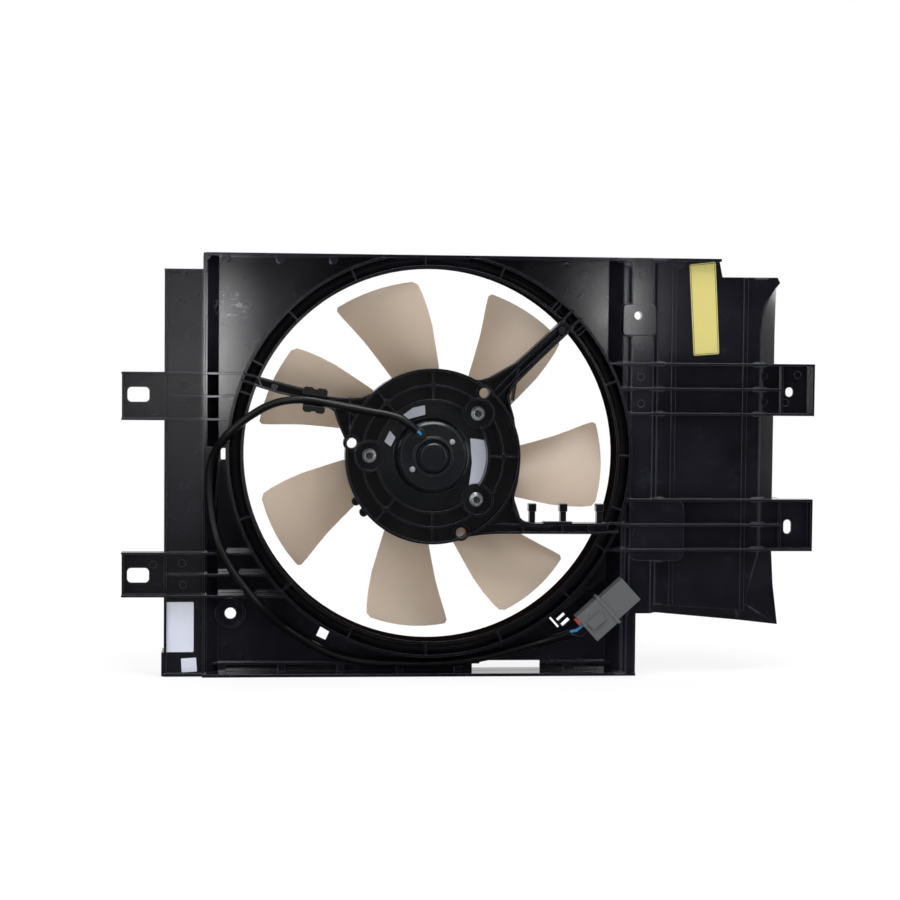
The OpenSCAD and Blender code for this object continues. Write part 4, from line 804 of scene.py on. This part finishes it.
def addSticker(name, depth, rounding, finish, corners):
    thick = stickers["thick"]
    clearSelection()
    bpy.ops.mesh.primitive_circle_add(vertices=len(corners), radius=0.01, fill_type="NGON")
    obj = bpy.context.object
    startEdit(obj)
    for index, (x, z) in enumerate(corners):
        moveCorner(obj, index, Vector(mm(x, -depth, z)))
    bpy.ops.mesh.select_all(action="SELECT")
    bpy.ops.mesh.bevel(affect="VERTICES", offset=rounding / 1000, segments=stickers["cornerSteps"])
    bpy.ops.mesh.select_all(action="SELECT")
    bpy.ops.mesh.extrude_region_move(TRANSFORM_OT_translate={"value": mm(0, -thick, 0)})
    bpy.ops.mesh.select_all(action="SELECT")
    bpy.ops.mesh.normals_make_consistent(inside=False)
    bpy.ops.object.mode_set(mode="OBJECT")
    finishPiece(obj, name, finish)
    if name == "yellowPlate":
        printBorder(obj, depth, thick, stickers["border"])


for plateName, plateValues in stickers["plates"].items():
    addSticker(plateName, *plateValues)
print("stickers made:", len(stickers["plates"]))


# the three studs that hold the motor, with their flanged nuts

motorFixing = {
    "circle": 51.7, "angles": (43, 180, -44),  # mm and degrees round the shaft
    "stud": [  # radius and depth of each step, mm
        (0.01, 42.2), (4.0, 42.2), (4.2, 42.5), (4.2, 44.0), (2.5, 44.0), (2.5, 50.2)],
    "threadEnd": 57.2, "pitch": 0.8, "threadDepth": 0.22, "threadRadius": 2.5,
    "tip": [(2.1, 58.0), (1.25, 58.0), (1.0, 57.5), (0.01, 57.4)],
    "flange": [(2.62, 48.1), (5.7, 48.1), (5.9, 48.3), (5.9, 48.8), (5.6, 49.1), (4.7, 49.7), (2.62, 49.7)],
    "hexRadius": 4.62, "hexFrom": 49.2, "hexTo": 53.6, "chamfer": 0.5, "chamferDrop": 0.3, "bore": 2.75,
    "dish": 0.35, "boreDepth": 2.6, "studSides": 24, "flangeSides": 36,
    "weld": 0.00004, "smooth": 35,  # metres and degrees
}


def loopsAlongY(name, profile, sides, weld, smooth):
    # a turned shape: one ring, extruded and scaled step by step towards the engine
    clearSelection()
    radius, depth = profile[0]
    bpy.ops.mesh.primitive_circle_add(vertices=sides, radius=radius / 1000, fill_type="NOTHING",
                                      location=mm(0, -depth, 0), rotation=(math.pi / 2, 0, 0))
    obj = bpy.context.object
    obj.name = name
    bpy.ops.object.transform_apply(location=True, rotation=True, scale=True)
    startEdit(obj)
    bpy.ops.mesh.select_all(action="SELECT")
    for newRadius, newDepth in profile[1:]:
        bpy.ops.mesh.extrude_region_move(TRANSFORM_OT_translate={"value": mm(0, depth - newDepth, 0)})
        k = newRadius / radius
        bpy.ops.transform.resize(value=(k, 1, k), center_override=mm(0, -newDepth, 0))
        radius, depth = newRadius, newDepth
    closeShape(weld)
    bpy.ops.object.shade_smooth_by_angle(angle=math.radians(smooth))
    return obj


def hexNut(s):
    clearSelection()
    height = s["hexTo"] - s["hexFrom"]
    bpy.ops.mesh.primitive_cylinder_add(vertices=6, radius=s["hexRadius"] / 1000, depth=height / 1000,
                                        location=mm(0, -(s["hexFrom"] + s["hexTo"]) / 2, 0),
                                        rotation=(math.pi / 2, 0, 0))
    obj = bpy.context.object
    bpy.ops.object.transform_apply(location=True, rotation=True, scale=True)
    startEdit(obj, "FACE")
    selectFront(obj, s["hexTo"])
    bpy.ops.mesh.inset(thickness=s["chamfer"] / 1000)
    bpy.ops.transform.translate(value=mm(0, -s["chamferDrop"], 0))
    flat = s["hexRadius"] * math.cos(math.pi / 6) - s["chamfer"]
    bpy.ops.mesh.inset(thickness=(flat - s["bore"]) / 1000)
    bpy.ops.transform.translate(value=mm(0, s["dish"], 0))
    bpy.ops.mesh.extrude_region_move(TRANSFORM_OT_translate={"value": mm(0, s["boreDepth"], 0)})
    bpy.ops.object.mode_set(mode="OBJECT")
    return obj


def addFixings(s):
    steps = list(s["stud"])
    depth = steps[-1][1]
    while depth + s["pitch"] < s["threadEnd"]:
        steps += [(s["threadRadius"] - s["threadDepth"], depth + s["pitch"] / 2),
                  (s["threadRadius"], depth + s["pitch"])]
        depth += s["pitch"]
    stud = loopsAlongY("stud", steps + s["tip"], s["studSides"], s["weld"], s["smooth"])
    flange = loopsAlongY("flange", s["flange"] + s["flange"][:1], s["flangeSides"], s["weld"], s["smooth"])
    nut = hexNut(s)
    pieces = {  # name: models, finish, node that it stands for
        "motorStuds": ((stud,), "phosphatedSteel", "motor_studs"),
        "motorFlangeNuts": ((flange, nut), "zincSteel", "motor_nuts"),
    }
    for name, (models, finish, nodeName) in pieces.items():
        copies = []
        for angle in map(math.radians, s["angles"]):
            at = mm(s["circle"] * math.cos(angle), 0, s["circle"] * math.sin(angle))
            copies += [addCopy(model, name, at) for model in models]
        joinCopies(copies)
        finishPiece(copies[0], name, finish)
        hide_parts(nodeName)
    for model in (stud, flange, nut):
        bpy.data.objects.remove(model)


addFixings(motorFixing)
print("studs and nuts made:", len(motorFixing["angles"]))


# round marks of the mould's ejector pins, each on the surface behind it

ejectorMarks = {
    "radius": 3.3, "rim": 0.45, "proud": 0.12, "sunk": 0.08, "seat": 0.02, "sides": 28,  # mm
    "on": "shroud_panelSmooth", "seenFrom": 200, "flat": 0.99,  # mm, and how squarely the face must look
    "places": [  # X, Z in mm
        (-202.6, 55.8), (-202.6, 39.0), (-227.6, 34.7), (176.4, 151.4), (175.8, 91.5), (176.2, 66.3),
        (176.5, 44.0), (282.9, 67.2), (283.0, 45.6), (311.5, 68.9), (301.3, 45.4), (-204.7, -91.2),
        (-203.8, -109.1), (-228.5, -92.1),
    ],
}


def depthAt(s, x, z):
    # how deep the flat face lies, seen from the engine side
    start = Vector(mm(x, -s["seenFrom"], z))
    hit, place, normal, index = bpy.data.objects[s["on"]].ray_cast(start, Vector((0, 1, 0)))
    return place.y if hit and normal.y < -s["flat"] else None


def addPinMarks(s):
    clearSelection()
    bpy.ops.mesh.primitive_circle_add(vertices=s["sides"], radius=s["radius"] / 1000, fill_type="NGON",
                                      rotation=(math.pi / 2, 0, 0))
    first = bpy.context.object
    bpy.ops.object.transform_apply(location=True, rotation=True, scale=True)
    startEdit(first, "FACE")
    bpy.ops.mesh.select_all(action="SELECT")
    bpy.ops.mesh.extrude_region_move(TRANSFORM_OT_translate={"value": mm(0, -s["proud"], 0)})
    bpy.ops.mesh.inset(thickness=s["rim"] / 1000)
    bpy.ops.transform.translate(value=mm(0, s["sunk"], 0))
    bpy.ops.mesh.select_all(action="SELECT")
    bpy.ops.mesh.normals_make_consistent(inside=False)
    bpy.ops.object.mode_set(mode="OBJECT")
    bpy.context.view_layer.update()
    copies = []
    for x, z in s["places"]:
        y = depthAt(s, x, z)
        if y is None:
            print("no flat face for a mark at", x, z)
            continue
        copies.append(addCopy(first, "pinMark", (x / 1000, y + s["seat"] / 1000, z / 1000)))
    bpy.data.objects.remove(first)
    joinCopies(copies)
    finishPiece(copies[0], "ejectorMarks", "shroudPolypropylene")
    print("ejector marks made:", len(copies))


addPinMarks(ejectorMarks)
